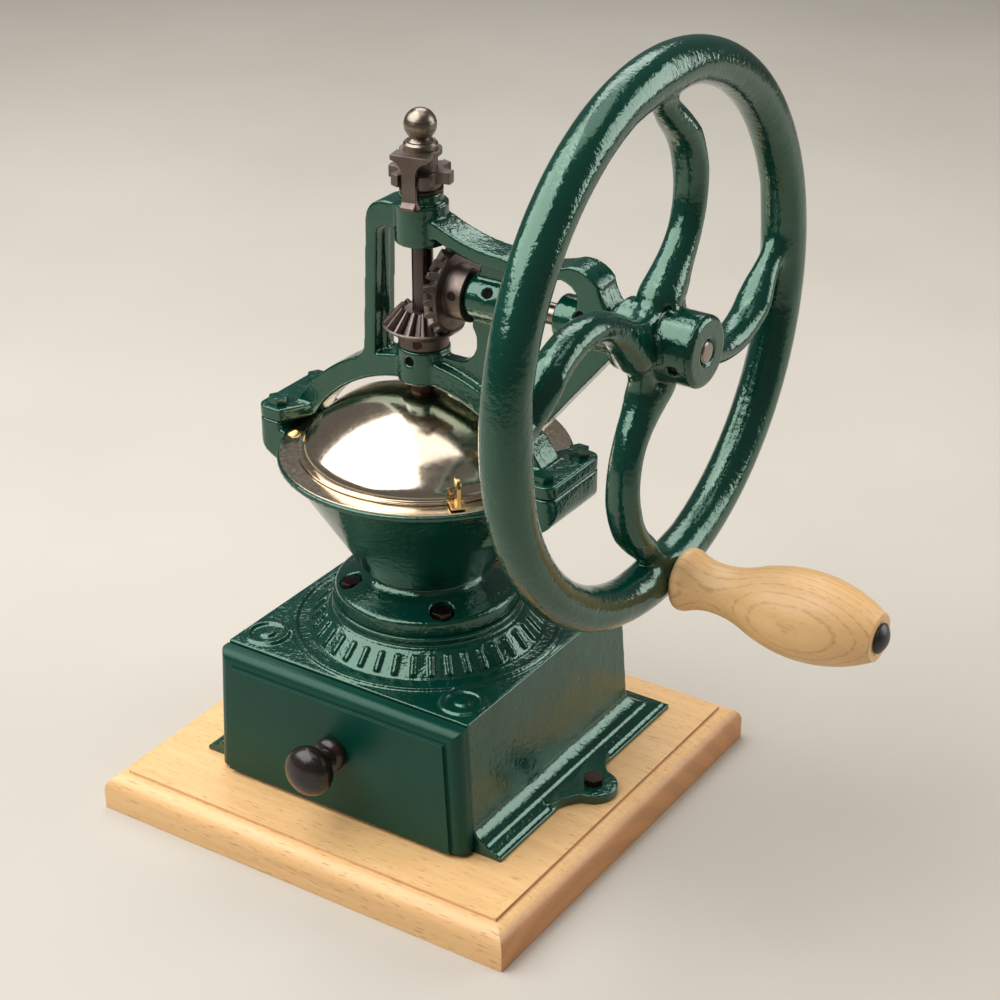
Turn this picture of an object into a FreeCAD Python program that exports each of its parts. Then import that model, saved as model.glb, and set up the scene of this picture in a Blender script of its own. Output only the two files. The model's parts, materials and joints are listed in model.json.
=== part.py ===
import FreeCAD, Part
import math
import os

import Sketcher
from FreeCAD import Placement, Rotation, Vector

# Hand crank coffee grinder, in millimetres.
# The origin is the middle of the board's underside, on the spindle axis. +Z is up,
# the drawer opens towards -Y and the flywheel is on the +X side.

SIZES = {
    # wooden board
    "board_length": 234.2,
    "board_depth": 228.0,
    "board_slab": 18.5,
    "board_round": 8.5,
    "board_step": 0.5,
    "board_field_rise": 1.7,
    # cast box
    "box_length": 138.6,
    "box_front": 69.0,
    "box_back": 69.0,
    "box_height": 69.6,
    "box_taper": 3.4,
    "box_wall": 5.0,
    "box_roof": 6.0,
    # skirting round three sides of the box
    "skirting_side": 14.5,
    "skirting_back": 17.5,
    "skirting_rise": 13.0,
    "skirting_cove": 6.5,
    "skirting_cove_foot": 6.6,
    "skirting_step": 1.2,
    "skirting_edge": 2.6,
    # screw lugs of the box
    "lug_reach": 93.0,
    "lug_offset": 4.5,
    "lug_radius": 12.0,
    "lug_neck": 27.0,
    "lug_thick": 5.0,
    # raised work on top of the box
    "pedestal_radius": 46.5,
    "pedestal_rise": 15.7,
    "cone_top_radius": 48.0,
    "cone_foot_radius": 58.0,
    "cone_rise": 10.7,
    "ring_radius": 65.6,
    "ring_width": 2.8,
    "ring_rise": 1.5,
    "medallion_x": 57.0,
    "medallion_y": 54.5,
    "medallion_radius": 10.8,
    "medallion_band": 2.2,
    "medallion_rise": 1.2,
    "medallion_dot": 3.6,
    # drawer
    "drawer_gap": 0.4,
    "drawer_front_depth": 8.2,
    "drawer_front_round": 5.2,
    "drawer_front_border": 7.4,
    "drawer_panel_rise": 1.6,
    "drawer_foot_gap": 2.4,
    "drawer_head_gap": 1.4,
    "tray_side_gap": 0.8,
    "tray_run_gap": 0.3,
    "tray_depth": 124.0,
    "tray_height": 46.0,
    "tray_wall": 5.0,
    "tray_floor": 3.5,
    "knob_level": 36.0,
    "drawer_screw_spread": 42.0,
    "knob_radius": 12.4,
    "knob_back": 7.2,
    "knob_round": 7.4,
    "knob_collar_radius": 7.0,
    "knob_collar_depth": 7.0,
    "knob_collar_round": 4.0,
    "knob_neck_radius": 5.0,
    "knob_neck_depth": 5.0,
    # hopper
    "flange_radius": 45.0,
    "flange_edge": 6.8,
    "flange_crown": 12.2,
    "neck_radius": 28.0,
    "neck_level": 17.0,
    "bowl_foot_radius": 34.0,
    "bowl_foot_level": 21.5,
    "bowl_wall": 4.5,
    "rim_level": 77.3,
    "rim_radius": 70.15,
    "rim_overhang": 3.55,
    "rim_lip": 2.8,
    "rim_ledge_gap": 0.6,
    "rim_ledge_thick": 3.2,
    "throat_radius": 22.0,
    "hopper_lug_drop": 14.0,
    "hopper_lug_root": 36.0,
    "hopper_lug_round": 10.0,
    "hopper_lug_gap": 1.0,
    "flange_bolt_circle": 37.5,
    # yoke
    "foot_level": 4.2,
    "foot_thick": 6.4,
    "foot_overhang": 13.45,
    "foot_half_width": 22.5,
    "foot_round": 6.0,
    "foot_bolt_inset": 8.4,
    "foot_bolt_y": 15.4,
    "arch_drop": 37.2,
    "arch_clearance": 2.5,
    "arch_thick": 11.2,
    "rib_width": 16.0,
    "web_width": 7.0,
    "web_notch": 11.8,
    "upright_foot_x": 28.8,
    "upright_head_x": 26.0,
    "upright_thick": 6.0,
    "upright_web_x": 19.6,
    "upright_web_width": 4.0,
    "upright_corner": 11.0,
    "upright_flare": 9.0,
    "arm_thick": 7.0,
    "brace_thick": 11.0,
    "lower_boss_radius": 12.5,
    "lower_boss_drop": 0.8,
    "lower_boss_rise": 5.0,
    "upper_boss_radius": 12.4,
    "upper_boss_tuck": 1.0,
    "upper_boss_length": 19.1,
    "upper_collar_radius": 10.0,
    "upper_collar_rise": 5.0,
    "barrel_radius": 10.7,
    "inner_barrel_length": 29.0,
    "barrel_spacing": 17.0,
    "outer_barrel_length": 31.0,
    "oil_hole_radius": 2.3,
    "oil_hole_depth": 2.2,
    # shafts and their fits
    "shaft_radius": 5.0,
    "bush_wall": 2.2,
    "running_gap": 0.05,
    "seat_gap": 0.02,
    "face_gap": 0.3,
    # bevel gears
    "gear_module": 2.1,
    "gear_face": 11.2,
    "gear_backlash": 0.36,
    "pinion_lip": 1.1,
    "gear_hub_radius": 13.0,
    "gear_hub_length": 12.2,
    "pinion_hub_radius": 11.8,
    "pinion_hub_length": 9.6,
    # adjuster on top of the spindle
    "washer_radius": 10.0,
    "washer_thick": 1.5,
    "star_hub_radius": 9.0,
    "star_hub_length": 3.2,
    "star_radius": 15.0,
    "star_thick": 5.4,
    "star_notch": 5.5,
    "star_cap_length": 7.0,
    "latch_thick": 2.2,
    "latch_width": 6.6,
    "latch_shoulder": 17.6,
    "latch_foot_width": 9.6,
    "latch_foot_height": 5.0,
    "latch_reach": 11.8,
    "latch_plate": 9.6,
    "finial_collar_radius": 7.8,
    "finial_collar": 3.4,
    "finial_neck": 1.5,
    "finial_neck_radius": 4.3,
    "finial_neck_foot": 5.8,
    "finial_ball_radius": 7.45,
    "stud_radius": 3.0,
    # burrs
    "outer_burr_height": 15.0,
    "burr_mouth_radius": 17.5,
    "burr_exit_radius": 15.4,
    "inner_burr_height": 18.0,
    "inner_burr_top_radius": 9.5,
    "burr_gap": 0.5,
    "burr_nut_height": 5.0,
    # lid
    "lid_sheet": 0.8,
    "lid_margin": 1.15,
    "lid_flange_width": 11.0,
    "dome_height": 27.0,
    "dome_shoulder": 15.0,
    "door_gap": 0.35,
    "door_lip": 2.2,
    "tab_height": 14.0,
    "tab_width": 7.0,
    "tab_thick": 2.0,
    "rivet_inset": 4.4,
    "rivet_radius": 3.8,
    "rivet_head": 1.8,
    # flywheel
    "rim_circle": 120.0,
    "rim_tube": 10.27,
    "hub_radius": 16.3,
    "hub_back": 15.8,
    "hub_length": 40.9,
    "spoke_root_radius": 10.5,
    "spoke_waist_radius": 5.4,
    "spoke_tip_radius": 8.0,
    "spoke_web_radius": 12.0,
    "spoke_web_thick": 12.0,
    "spoke_bow": 45.4,
    "spoke_bow_offset": 20.0,
    "spoke_bow_rise": 61.9,
    "spoke_root": 22.0,
    "spoke_tip": 30.0,
    # handle
    "handle_offset": 12.0,
    "handle_length": 98.0,
    "handle_face_radius": 12.6,
    "handle_bead_radius": 14.7,
    "handle_neck_radius": 11.4,
    "handle_belly_radius": 20.5,
    "handle_end_radius": 13.4,
    "handle_end_edge": 2.4,
    "handle_bolt_radius": 4.0,
    "handle_cap_radius": 7.0,
    "handle_cap_edge": 1.0,
    "handle_cap_rise": 3.0,
    "handle_washer_radius": 8.5,
    "handle_washer_thick": 1.5,
    # fasteners
    "bolt_flats": 8.8,
    "bolt_head": 3.4,
    "bolt_radius": 3.0,
    "wood_screw_radius": 2.4,
    "set_screw_radius": 2.2,
}

PINION_TEETH = 16
GEAR_TEETH = 20
PRESSURE_ANGLE = 20.0
SPOKES = 4
SPOKE_ARC_START = -41.7
SPOKE_ARC_END = 48.0
STAR_LUGS = 6
HUB_SCREW_ANGLE = 200.0
GEAR_SCREW_WAY = Vector(0, -math.cos(math.radians(10)), math.sin(math.radians(10)))
PINION_SCREW_WAY = Vector(math.sin(math.radians(20)), -math.cos(math.radians(20)), 0)
DOOR_START = -184.0
DOOR_SWEEP = 188.0
REAR_START = -4.0
REAR_SWEEP = 188.0
TAB_ANGLE = -42.5
RIVET_ANGLES = (200.0, 20.0)
LATCH_ANGLE = -79.0
BURR_GROOVES = 12
KNOB_SHOULDER = 58.0
HANDLE_BEAD = 0.035
HANDLE_NECK = 0.19
HANDLE_BELLY = 0.65
HANDLE_END = 0.955
HANDLE_BEAD_SHARE = 0.22
HANDLE_NECK_SHARE = 0.385

doc = FreeCAD.newDocument("coffee_grinder")
sheet = doc.addObject("Spreadsheet::Sheet", "Sizes")
NODES = []


class Size:
    """A length with the spreadsheet expression that gives it."""

    def __init__(self, value, text):
        self.value = value
        self.text = text

    def __add__(self, other):
        return Size(self.value + number(other), f"({self.text} + {words(other)})")

    def __sub__(self, other):
        return Size(self.value - number(other), f"({self.text} - {words(other)})")

    def __mul__(self, other):
        return Size(self.value * number(other), f"({self.text} * {words(other)})")

    def __truediv__(self, other):
        return Size(self.value / number(other), f"({self.text} / {words(other)})")

    def __radd__(self, other):
        return Size(number(other) + self.value, f"({words(other)} + {self.text})")

    def __rsub__(self, other):
        return Size(number(other) - self.value, f"({words(other)} - {self.text})")

    __rmul__ = __mul__

    def __neg__(self):
        return Size(-self.value, f"(-1 * {self.text})")


def number(item):
    return item.value if isinstance(item, Size) else float(item)


def words(item):
    return item.text if isinstance(item, Size) else repr(float(item))


def root(item):
    return Size(math.sqrt(number(item)), f"sqrt({words(item)})")


def cap_radius(half_width, rise):
    """Radius of a shallow round cap of a half width and a rise."""
    return (half_width * half_width + rise * rise) / (rise * 2)


def on_circle(radius, level):
    """Half width of a circle at a level measured from its centre."""
    return root(radius * radius - level * level)


class Sizes:
    """Named sizes, each with its own cell in the sheet."""

    def __init__(self, table):
        for row, (name, value) in enumerate(table.items(), start=1):
            sheet.set(f"A{row}", name)
            sheet.set(f"B{row}", str(value))
            sheet.setAlias(f"B{row}", name)
            setattr(self, name, Size(float(value), f"Sizes.{name}"))


S = Sizes(SIZES)
doc.recompute()


# Document helpers

def plane_of(body, role):
    return next(item for item in body.Origin.OriginFeatures if item.Role == role)


def new_body(label):
    body = doc.addObject("PartDesign::Body", label)
    body.Label = label
    NODES.append(body)
    return body


def lift(item, level):
    item.setExpression("Placement.Base.z", words(level))


def place(item, x=None, y=None, z=None):
    for axis, value in (("x", x), ("y", y), ("z", z)):
        if value is not None:
            item.setExpression(f"Placement.Base.{axis}", words(value))


def new_sketch(body, role, offset=None):
    sketch = body.newObject("Sketcher::SketchObject", "Sketch")
    sketch.AttachmentSupport = (plane_of(body, role), [""])
    sketch.MapMode = "FlatFace"
    if offset is not None:
        sketch.setExpression("AttachmentOffset.Base.z", words(offset))
    return sketch


def bind(sketch, constraints):
    """Adds constraints and ties each one that holds a Size to its expression."""
    first = sketch.ConstraintCount
    sketch.addConstraint([rule for rule, _ in constraints])
    for index, (_, size) in enumerate(constraints, start=first):
        if isinstance(size, Size):
            sketch.renameConstraint(index, f"size{index}")
            sketch.setExpression(f"Constraints.size{index}", size.text)


def at_point(edge, end, x, y):
    rule = Sketcher.Constraint
    return [
        (rule("DistanceX", -1, 1, edge, end, number(x)), x),
        (rule("DistanceY", -1, 1, edge, end, number(y)), y),
    ]


def arc_between(start, end, radius):
    """Arc of a signed radius: positive turns left from start to end."""
    middle = (start + end) * 0.5
    chord = end - start
    half = chord.Length / 2
    reach = math.sqrt(max(radius * radius - half * half, 0.0))
    side = Vector(-chord.y, chord.x, 0).normalize() * math.copysign(reach, radius)
    centre = middle + side
    first, last = (start, end) if radius > 0 else (end, start)
    angles = [math.atan2(point.y - centre.y, point.x - centre.x) for point in (first, last)]
    circle = Part.Circle(centre, Vector(0, 0, 1), abs(radius))
    return Part.ArcOfCircle(circle, angles[0], angles[1])


def outline(sketch, points):
    """Closed outline. A point's third entry is the radius of the arc that ends there."""
    first = sketch.GeometryCount
    spots = [Vector(number(point[0]), number(point[1]), 0) for point in points]
    edges = []
    ends = []
    for index, point in enumerate(points):
        start, end = spots[index - 1], spots[index]
        if len(point) == 3:
            edges.append(arc_between(start, end, number(point[2])))
            ends.append((1, 2) if number(point[2]) > 0 else (2, 1))
        else:
            edges.append(Part.LineSegment(start, end))
            ends.append((1, 2))
    sketch.addGeometry(edges, False)
    rule = Sketcher.Constraint
    constraints = []
    for index, point in enumerate(points):
        edge = first + index
        after = (index + 1) % len(points)
        joint = rule("Coincident", edge, ends[index][1], first + after, ends[after][0])
        constraints.append((joint, None))
    for index, point in enumerate(points):
        constraints += at_point(first + index, ends[index][1], point[0], point[1])
        if len(point) == 3:
            radius = point[2] if number(point[2]) > 0 else -point[2]
            constraints.append((rule("Radius", first + index, number(radius)), radius))
    bind(sketch, constraints)


def circle(sketch, x, y, radius):
    edge = sketch.GeometryCount
    centre = Vector(number(x), number(y), 0)
    sketch.addGeometry(Part.Circle(centre, Vector(0, 0, 1), number(radius)), False)
    rule = Sketcher.Constraint("Radius", edge, number(radius))
    bind(sketch, at_point(edge, 3, x, y) + [(rule, radius)])


def pad(body, sketch, length, symmetric=False, reverse=False):
    feature = body.newObject("PartDesign::Pad", "Pad")
    feature.Profile = sketch
    feature.SideType = "Symmetric" if symmetric else "One side"
    feature.Reversed = reverse
    feature.setExpression("Length", words(length))
    return feature


def pocket(body, sketch, length=None, symmetric=False, reverse=False):
    feature = body.newObject("PartDesign::Pocket", "Pocket")
    feature.Profile = sketch
    feature.SideType = "Symmetric" if symmetric else "One side"
    feature.Reversed = reverse
    if length is None:
        feature.Type = "ThroughAll"
    else:
        feature.setExpression("Length", words(length))
    return feature


def spin(body, sketch, axis, kind="PartDesign::Revolution", sweep=360.0):
    feature = body.newObject(kind, "Spin")
    feature.Profile = sketch
    feature.ReferenceAxis = (sketch, [axis])
    feature.Angle = sweep
    return feature


def pattern(body, feature, role, count):
    copies = body.newObject("PartDesign::PolarPattern", "Pattern")
    copies.Originals = [feature]
    copies.Axis = (next(item for item in body.Origin.OriginFeatures if item.Role == role), [""])
    copies.Angle = 360.0
    copies.Occurrences = count
    body.Tip = copies
    return copies


TURN = {"X": ("XZ_Plane", "H_Axis"), "Y": ("XY_Plane", "V_Axis"), "Z": ("XZ_Plane", "V_Axis")}


def profile(axis, points):
    """Swaps (radius, along) points for an axis that runs along the sketch's first direction."""
    if axis != "X":
        return points
    swapped = []
    for point in points:
        turned_back = (-point[2],) if len(point) == 3 else ()
        swapped.append((point[1], point[0]) + turned_back)
    return swapped


def turned(label, axis, points, sweep=360.0):
    """A piece turned about one axis from (radius, along) points."""
    body = new_body(label)
    role, reference = TURN[axis]
    sketch = new_sketch(body, role)
    outline(sketch, profile(axis, points))
    spin(body, sketch, reference, sweep=sweep)
    return body


def groove(body, axis, points):
    role, reference = TURN[axis]
    sketch = new_sketch(body, role)
    outline(sketch, profile(axis, points))
    return spin(body, sketch, reference, "PartDesign::Groove")


def ring(label, axis, inner, outer, start, length):
    return turned(label, axis, [
        (inner, start), (outer, start), (outer, start + length), (inner, start + length),
    ])


def hex_bolt(flats, head, radius, length):
    """Hexagon head above the origin and a shank below it."""
    prism = doc.addObject("Part::Prism", "Head")
    prism.Polygon = 6
    prism.setExpression("Circumradius", words(flats / math.sqrt(3)))
    prism.setExpression("Height", words(head))
    shank = doc.addObject("Part::Cylinder", "Shank")
    shank.setExpression("Radius", words(radius))
    shank.setExpression("Height", words(length))
    lift(shank, -length)
    bolt = doc.addObject("Part::Fuse", "Bolt")
    bolt.Base = prism
    bolt.Tool = shank
    return bolt


def pin(radius, length, direction):
    """Plain round pin from the origin along a direction."""
    rod = doc.addObject("Part::Cylinder", "Rod")
    rod.setExpression("Radius", words(radius))
    rod.setExpression("Height", words(length))
    rod.Placement = Placement(Vector(), Rotation(Vector(0, 0, 1), direction))
    return rod


def group(label, items):
    compound = doc.addObject("Part::Compound", label)
    compound.Label = label
    compound.Links = items
    NODES.append(compound)
    return compound


def named(label, item):
    item.Label = label
    NODES.append(item)
    return item


def cut(label, body, tools):
    """The last word on a body: a boolean cut by plain pins."""
    NODES.remove(body)
    body.Label = label + "_casting"
    joined = tools[0]
    if len(tools) > 1:
        joined = doc.addObject("Part::MultiFuse", "Tools")
        joined.Shapes = tools
    result = doc.addObject("Part::Cut", label)
    result.Label = label
    result.Base = body
    result.Tool = joined
    NODES.append(result)
    return result


# Levels that stack up from the board

BOARD_TOP = S.board_slab + S.board_field_rise
PLATE = BOARD_TOP + S.box_height
PEDESTAL = PLATE + S.pedestal_rise
RIM = PEDESTAL + S.rim_level
FOOT = RIM + S.foot_level
LID_FLANGE = S.rim_radius - S.lid_margin
DOME = LID_FLANGE - S.lid_flange_width
ARCH_CENTRE = FOOT - S.arch_drop
ARCH_START = DOME + S.arch_clearance
ARCH_INNER = root(ARCH_START * ARCH_START + S.arch_drop * S.arch_drop)
ARCH_OUTER = ARCH_INNER + S.arch_thick
PITCH_PINION = S.gear_module * PINION_TEETH / 2
PITCH_GEAR = S.gear_module * GEAR_TEETH / 2
LOWER_BOSS = ARCH_CENTRE + ARCH_INNER - S.lower_boss_drop
LOWER_BOSS_TOP = ARCH_CENTRE + ARCH_OUTER + S.lower_boss_rise
AXLE = LOWER_BOSS_TOP + S.pinion_hub_length + PITCH_GEAR
UPPER_BOSS = AXLE + PITCH_GEAR - S.upper_boss_tuck
UPPER_BOSS_TOP = UPPER_BOSS + S.upper_boss_length
COLLAR_TOP = UPPER_BOSS_TOP + S.upper_collar_rise
BUSH_RADIUS = S.shaft_radius + S.running_gap + S.bush_wall
BUSH_BORE = S.shaft_radius + S.running_gap
BUSH_SEAT = BUSH_RADIUS + S.seat_gap
BOX_HALF = S.box_length / 2
BOX_FOOT = BOX_HALF + S.box_taper
BACK_FOOT = S.box_back + S.box_taper


# Board and box

def base_board():
    body = new_body("base_board")
    slab = new_sketch(body, "XY_Plane")
    half_x, half_y = S.board_length / 2, S.board_depth / 2
    outline(slab, [(half_x, -half_y), (half_x, half_y), (-half_x, half_y), (-half_x, -half_y)])
    pad(body, slab, S.board_slab)
    doc.recompute()
    edges = body.newObject("PartDesign::Fillet", "Round")
    base = body.Group[-2]
    top = [f"Edge{index}" for index, edge in enumerate(base.Shape.Edges, start=1)
           if edge.BoundBox.ZMin > S.board_slab.value - 0.01]
    edges.Base = (base, top)
    edges.setExpression("Radius", words(S.board_round))
    field = new_sketch(body, "XY_Plane", S.board_slab)
    inset = S.board_round + S.board_step
    x, y = half_x - inset, half_y - inset
    outline(field, [(x, -y), (x, y), (-x, y), (-x, -y)])
    pad(body, field, S.board_field_rise)
    holes = new_sketch(body, "XY_Plane", BOARD_TOP)
    for side in (-1, 1):
        circle(holes, side * S.lug_reach, S.lug_offset, S.wood_screw_radius + S.seat_gap)
    pocket(body, holes, S.board_slab * 0.7)
    return body


def skirting(foot, width):
    """Skirting section from the wall's foot outwards, as (out, up) points from top to bottom."""
    cove = foot + S.skirting_cove
    outer = foot + width
    up = BOARD_TOP
    return [
        (cove, up + S.skirting_cove_foot, S.skirting_rise * 0.75),
        (cove + S.skirting_step / 2, up + S.skirting_cove_foot - S.skirting_step),
        (outer - S.skirting_step * 2, up + S.skirting_edge + S.skirting_step),
        (outer - S.skirting_step * 1.6, up + S.skirting_edge),
        (outer, up + S.skirting_edge - S.skirting_step / 2),
        (outer, up),
    ]


def wall_at(top, rise):
    """Distance of a tapered wall from the axis at a height above the board."""
    return top + S.box_taper * (1 - rise / S.box_height)


def right_side():
    wall = wall_at(BOX_HALF, S.skirting_rise)
    return [(BOX_HALF, PLATE), (wall, BOARD_TOP + S.skirting_rise)] + skirting(BOX_FOOT, S.skirting_side)


def left_side():
    """The right side reflected: an arc that ended at a point now starts there."""
    forward = right_side()
    points = []
    for index in range(len(forward) - 1, -1, -1):
        spot = (-forward[index][0], forward[index][1])
        after = forward[index + 1] if index + 1 < len(forward) else ()
        points.append(spot + ((after[2],) if len(after) == 3 else ()))
    return points


def base_box():
    body = new_body("base_box")
    across = new_sketch(body, "XZ_Plane")
    outline(across, right_side() + left_side())
    block = S.box_front + BACK_FOOT + S.skirting_back
    pad(body, across, block * 2, symmetric=True)
    along = new_sketch(body, "YZ_Plane")
    far = block * 2
    high = PLATE * 2
    outline(along, [(far, -high), (far, high), (-far, high), (-far, -high)])
    back_wall = wall_at(S.box_back, S.skirting_rise)
    back = [(S.box_back, PLATE), (back_wall, BOARD_TOP + S.skirting_rise)]
    back += skirting(BACK_FOOT, S.skirting_back)
    outline(along, back + [(-S.box_front, BOARD_TOP), (-S.box_front, PLATE)])
    pocket(body, along, far * 2, symmetric=True)
    lugs(body)
    raised_work(body)
    hollow(body)
    return body


def lugs(body):
    sketch = new_sketch(body, "XY_Plane", BOARD_TOP)
    edge = BOX_FOOT + S.skirting_side - S.skirting_step
    shoulder = S.lug_reach + S.lug_radius * 0.1
    half = on_circle(S.lug_radius, S.lug_radius * 0.1)
    low, high = S.lug_offset - S.lug_neck, S.lug_offset + S.lug_neck
    for side in (1, -1):
        outline(sketch, [
            (side * BOX_HALF, high), (side * BOX_HALF, low), (side * edge, low),
            (side * shoulder, S.lug_offset - half, -side * S.lug_neck),
            (side * shoulder, S.lug_offset + half, side * S.lug_radius),
            (side * edge, high, -side * S.lug_neck),
        ])
    pad(body, sketch, S.lug_thick)
    screws = new_sketch(body, "XY_Plane", BOARD_TOP + S.lug_thick)
    for side in (1, -1):
        circle(screws, side * S.lug_reach, S.lug_offset, S.wood_screw_radius + S.seat_gap)
    pocket(body, screws, S.lug_thick)


def raised_work(body):
    turned_work = new_sketch(body, "XZ_Plane")
    outline(turned_work, [
        (S.throat_radius, PLATE - S.box_roof / 2), (S.cone_foot_radius, PLATE - S.box_roof / 2),
        (S.cone_foot_radius, PLATE), (S.cone_top_radius, PLATE + S.cone_rise),
        (S.pedestal_radius, PLATE + S.cone_rise), (S.pedestal_radius, PEDESTAL),
        (S.throat_radius, PEDESTAL),
    ])
    spin(body, turned_work, "V_Axis")
    rings = new_sketch(body, "XY_Plane", PLATE)
    circle(rings, 0, 0, S.ring_radius + S.ring_width / 2)
    circle(rings, 0, 0, S.ring_radius - S.ring_width / 2)
    pad(body, rings, S.ring_rise)
    medals = new_sketch(body, "XY_Plane", PLATE)
    for x in (S.medallion_x, -S.medallion_x):
        for y in (S.medallion_y, -S.medallion_y):
            circle(medals, x, y, S.medallion_radius)
            circle(medals, x, y, S.medallion_radius - S.medallion_band)
    pad(body, medals, S.medallion_rise)
    dots = new_sketch(body, "XY_Plane", PLATE)
    for x in (S.medallion_x, -S.medallion_x):
        for y in (S.medallion_y, -S.medallion_y):
            circle(dots, x, y, S.medallion_dot)
    pad(body, dots, S.medallion_rise)


def hollow(body):
    """Room for the drawer, open at the front and closed below by the board."""
    inside = new_sketch(body, "XZ_Plane", S.box_front * 2)
    low, high = BOX_FOOT - S.box_wall, BOX_HALF - S.box_wall
    roof = PLATE - S.box_roof
    outline(inside, [(-low, BOARD_TOP), (low, BOARD_TOP), (high, roof), (-high, roof)])
    pocket(body, inside, S.box_front * 2 + S.box_back - S.box_wall)
    chute = new_sketch(body, "XY_Plane", PEDESTAL)
    circle(chute, 0, 0, S.throat_radius)
    pocket(body, chute, S.pedestal_rise + S.box_roof)
    threads = new_sketch(body, "XY_Plane", PEDESTAL)
    reach = S.flange_bolt_circle * math.sqrt(0.5)
    for x in (reach, -reach):
        for y in (reach, -reach):
            circle(threads, x, y, S.bolt_radius + S.seat_gap)
    pocket(body, threads, S.pedestal_rise)


def board_screws():
    items = []
    for side in (-1, 1):
        screw = hex_bolt(S.bolt_flats, S.bolt_head, S.wood_screw_radius, S.lug_thick + S.board_slab * 0.6)
        place(screw, side * S.lug_reach, S.lug_offset, BOARD_TOP + S.lug_thick)
        items.append(screw)
    return group("board_screws", items)


# Drawer

FRONT_BACK = S.box_front + S.drawer_gap
FRONT_STEP = FRONT_BACK + S.drawer_front_depth
FRONT_FACE = FRONT_STEP + S.drawer_panel_rise
FRONT_LOW = BOARD_TOP + S.drawer_foot_gap
FRONT_HIGH = PLATE - S.drawer_head_gap
KNOB = BOARD_TOP + S.knob_level


def tapered_panel(inset):
    """Drawer front outline, drawn in at the head and both sides by an inset."""
    low = wall_at(BOX_HALF, S.drawer_foot_gap) - inset
    high = wall_at(BOX_HALF, S.box_height - S.drawer_head_gap) - inset
    top = FRONT_HIGH - inset
    return [(-low, FRONT_LOW), (low, FRONT_LOW), (high, top), (-high, top)]


def drawer_front():
    body = new_body("drawer_front")
    frame = new_sketch(body, "XZ_Plane", FRONT_BACK)
    outline(frame, tapered_panel(0))
    pad(body, frame, S.drawer_front_depth)
    doc.recompute()
    base = body.Group[-1]
    face = -FRONT_STEP.value
    front = [f"Edge{index}" for index, edge in enumerate(base.Shape.Edges, start=1)
             if edge.BoundBox.YMax < face + 0.01 and edge.BoundBox.ZMax > FRONT_LOW.value + 0.01]
    rounding = body.newObject("PartDesign::Fillet", "Moulding")
    rounding.Base = (base, front)
    rounding.setExpression("Radius", words(S.drawer_front_round))
    panel = new_sketch(body, "XZ_Plane", FRONT_STEP)
    outline(panel, tapered_panel(S.drawer_front_border))
    pad(body, panel, S.drawer_panel_rise)
    hole = new_sketch(body, "XZ_Plane", FRONT_FACE)
    circle(hole, 0, KNOB, S.wood_screw_radius + S.seat_gap)
    pocket(body, hole)
    pilots = new_sketch(body, "XZ_Plane", FRONT_BACK)
    for side in (-1, 1):
        circle(pilots, side * S.drawer_screw_spread, KNOB, S.wood_screw_radius + S.seat_gap)
    pocket(body, pilots, S.drawer_front_depth * 0.7, reverse=True)
    return body


TRAY_HALF = BOX_HALF - S.box_wall - S.tray_side_gap
TRAY_FLOOR = BOARD_TOP + S.tray_run_gap
TRAY_BACK = S.tray_depth - FRONT_BACK


def drawer_tray():
    body = new_body("drawer_tray")
    box = new_sketch(body, "XY_Plane", TRAY_FLOOR)
    outline(box, [
        (-TRAY_HALF, -FRONT_BACK), (TRAY_HALF, -FRONT_BACK), (TRAY_HALF, TRAY_BACK), (-TRAY_HALF, TRAY_BACK),
    ])
    pad(body, box, S.tray_height)
    inside = new_sketch(body, "XY_Plane", TRAY_FLOOR + S.tray_height)
    half = TRAY_HALF - S.tray_wall
    front, back = S.tray_wall - FRONT_BACK, TRAY_BACK - S.tray_wall
    outline(inside, [(-half, front), (half, front), (half, back), (-half, back)])
    pocket(body, inside, S.tray_height - S.tray_floor)
    hole = new_sketch(body, "XZ_Plane", FRONT_BACK)
    for x in (-S.drawer_screw_spread, 0, S.drawer_screw_spread):
        circle(hole, x, KNOB, S.wood_screw_radius + S.seat_gap)
    pocket(body, hole, S.tray_wall)
    return body


def drawer_knob():
    """Collar, neck and a flattened head whose widest line has an upright tangent."""
    neck = S.knob_collar_depth + S.knob_neck_depth
    widest = neck + S.knob_back
    flare = S.knob_radius - S.knob_neck_radius
    back_round = (flare * flare + S.knob_back * S.knob_back) / (flare * 2)
    lean = math.radians(KNOB_SHOULDER)
    shoulder = S.knob_radius - S.knob_round * (1 - math.cos(lean))
    crown = shoulder / math.cos(lean)
    front = S.knob_round * math.sin(lean)
    body = turned("drawer_knob", "Y", [
        (0, 0), (S.knob_collar_radius, 0),
        (S.knob_neck_radius, -S.knob_collar_depth, -S.knob_collar_round),
        (S.knob_neck_radius, -neck),
        (S.knob_radius, -widest, -back_round),
        (shoulder, -widest - front, -S.knob_round),
        (0, -widest - front - crown * (1 - math.sin(lean)), -crown),
    ])
    place(body, y=-FRONT_FACE, z=KNOB)
    hole = new_sketch(body, "XZ_Plane")
    circle(hole, 0, 0, S.wood_screw_radius + S.seat_gap)
    pocket(body, hole, widest, reverse=True)
    return body


def knob_screw():
    length = FRONT_FACE - FRONT_BACK + S.tray_wall + S.knob_collar_depth + S.knob_neck_depth
    body = turned("drawer_knob_screw", "Y", [
        (0, -length), (S.wood_screw_radius, -length), (S.wood_screw_radius, 0),
        (S.wood_screw_radius * 2, 0), (S.wood_screw_radius * 1.6, S.wood_screw_radius * 0.9),
        (0, S.wood_screw_radius * 0.9),
    ])
    place(body, y=S.tray_wall - FRONT_BACK, z=KNOB)
    return body


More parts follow.
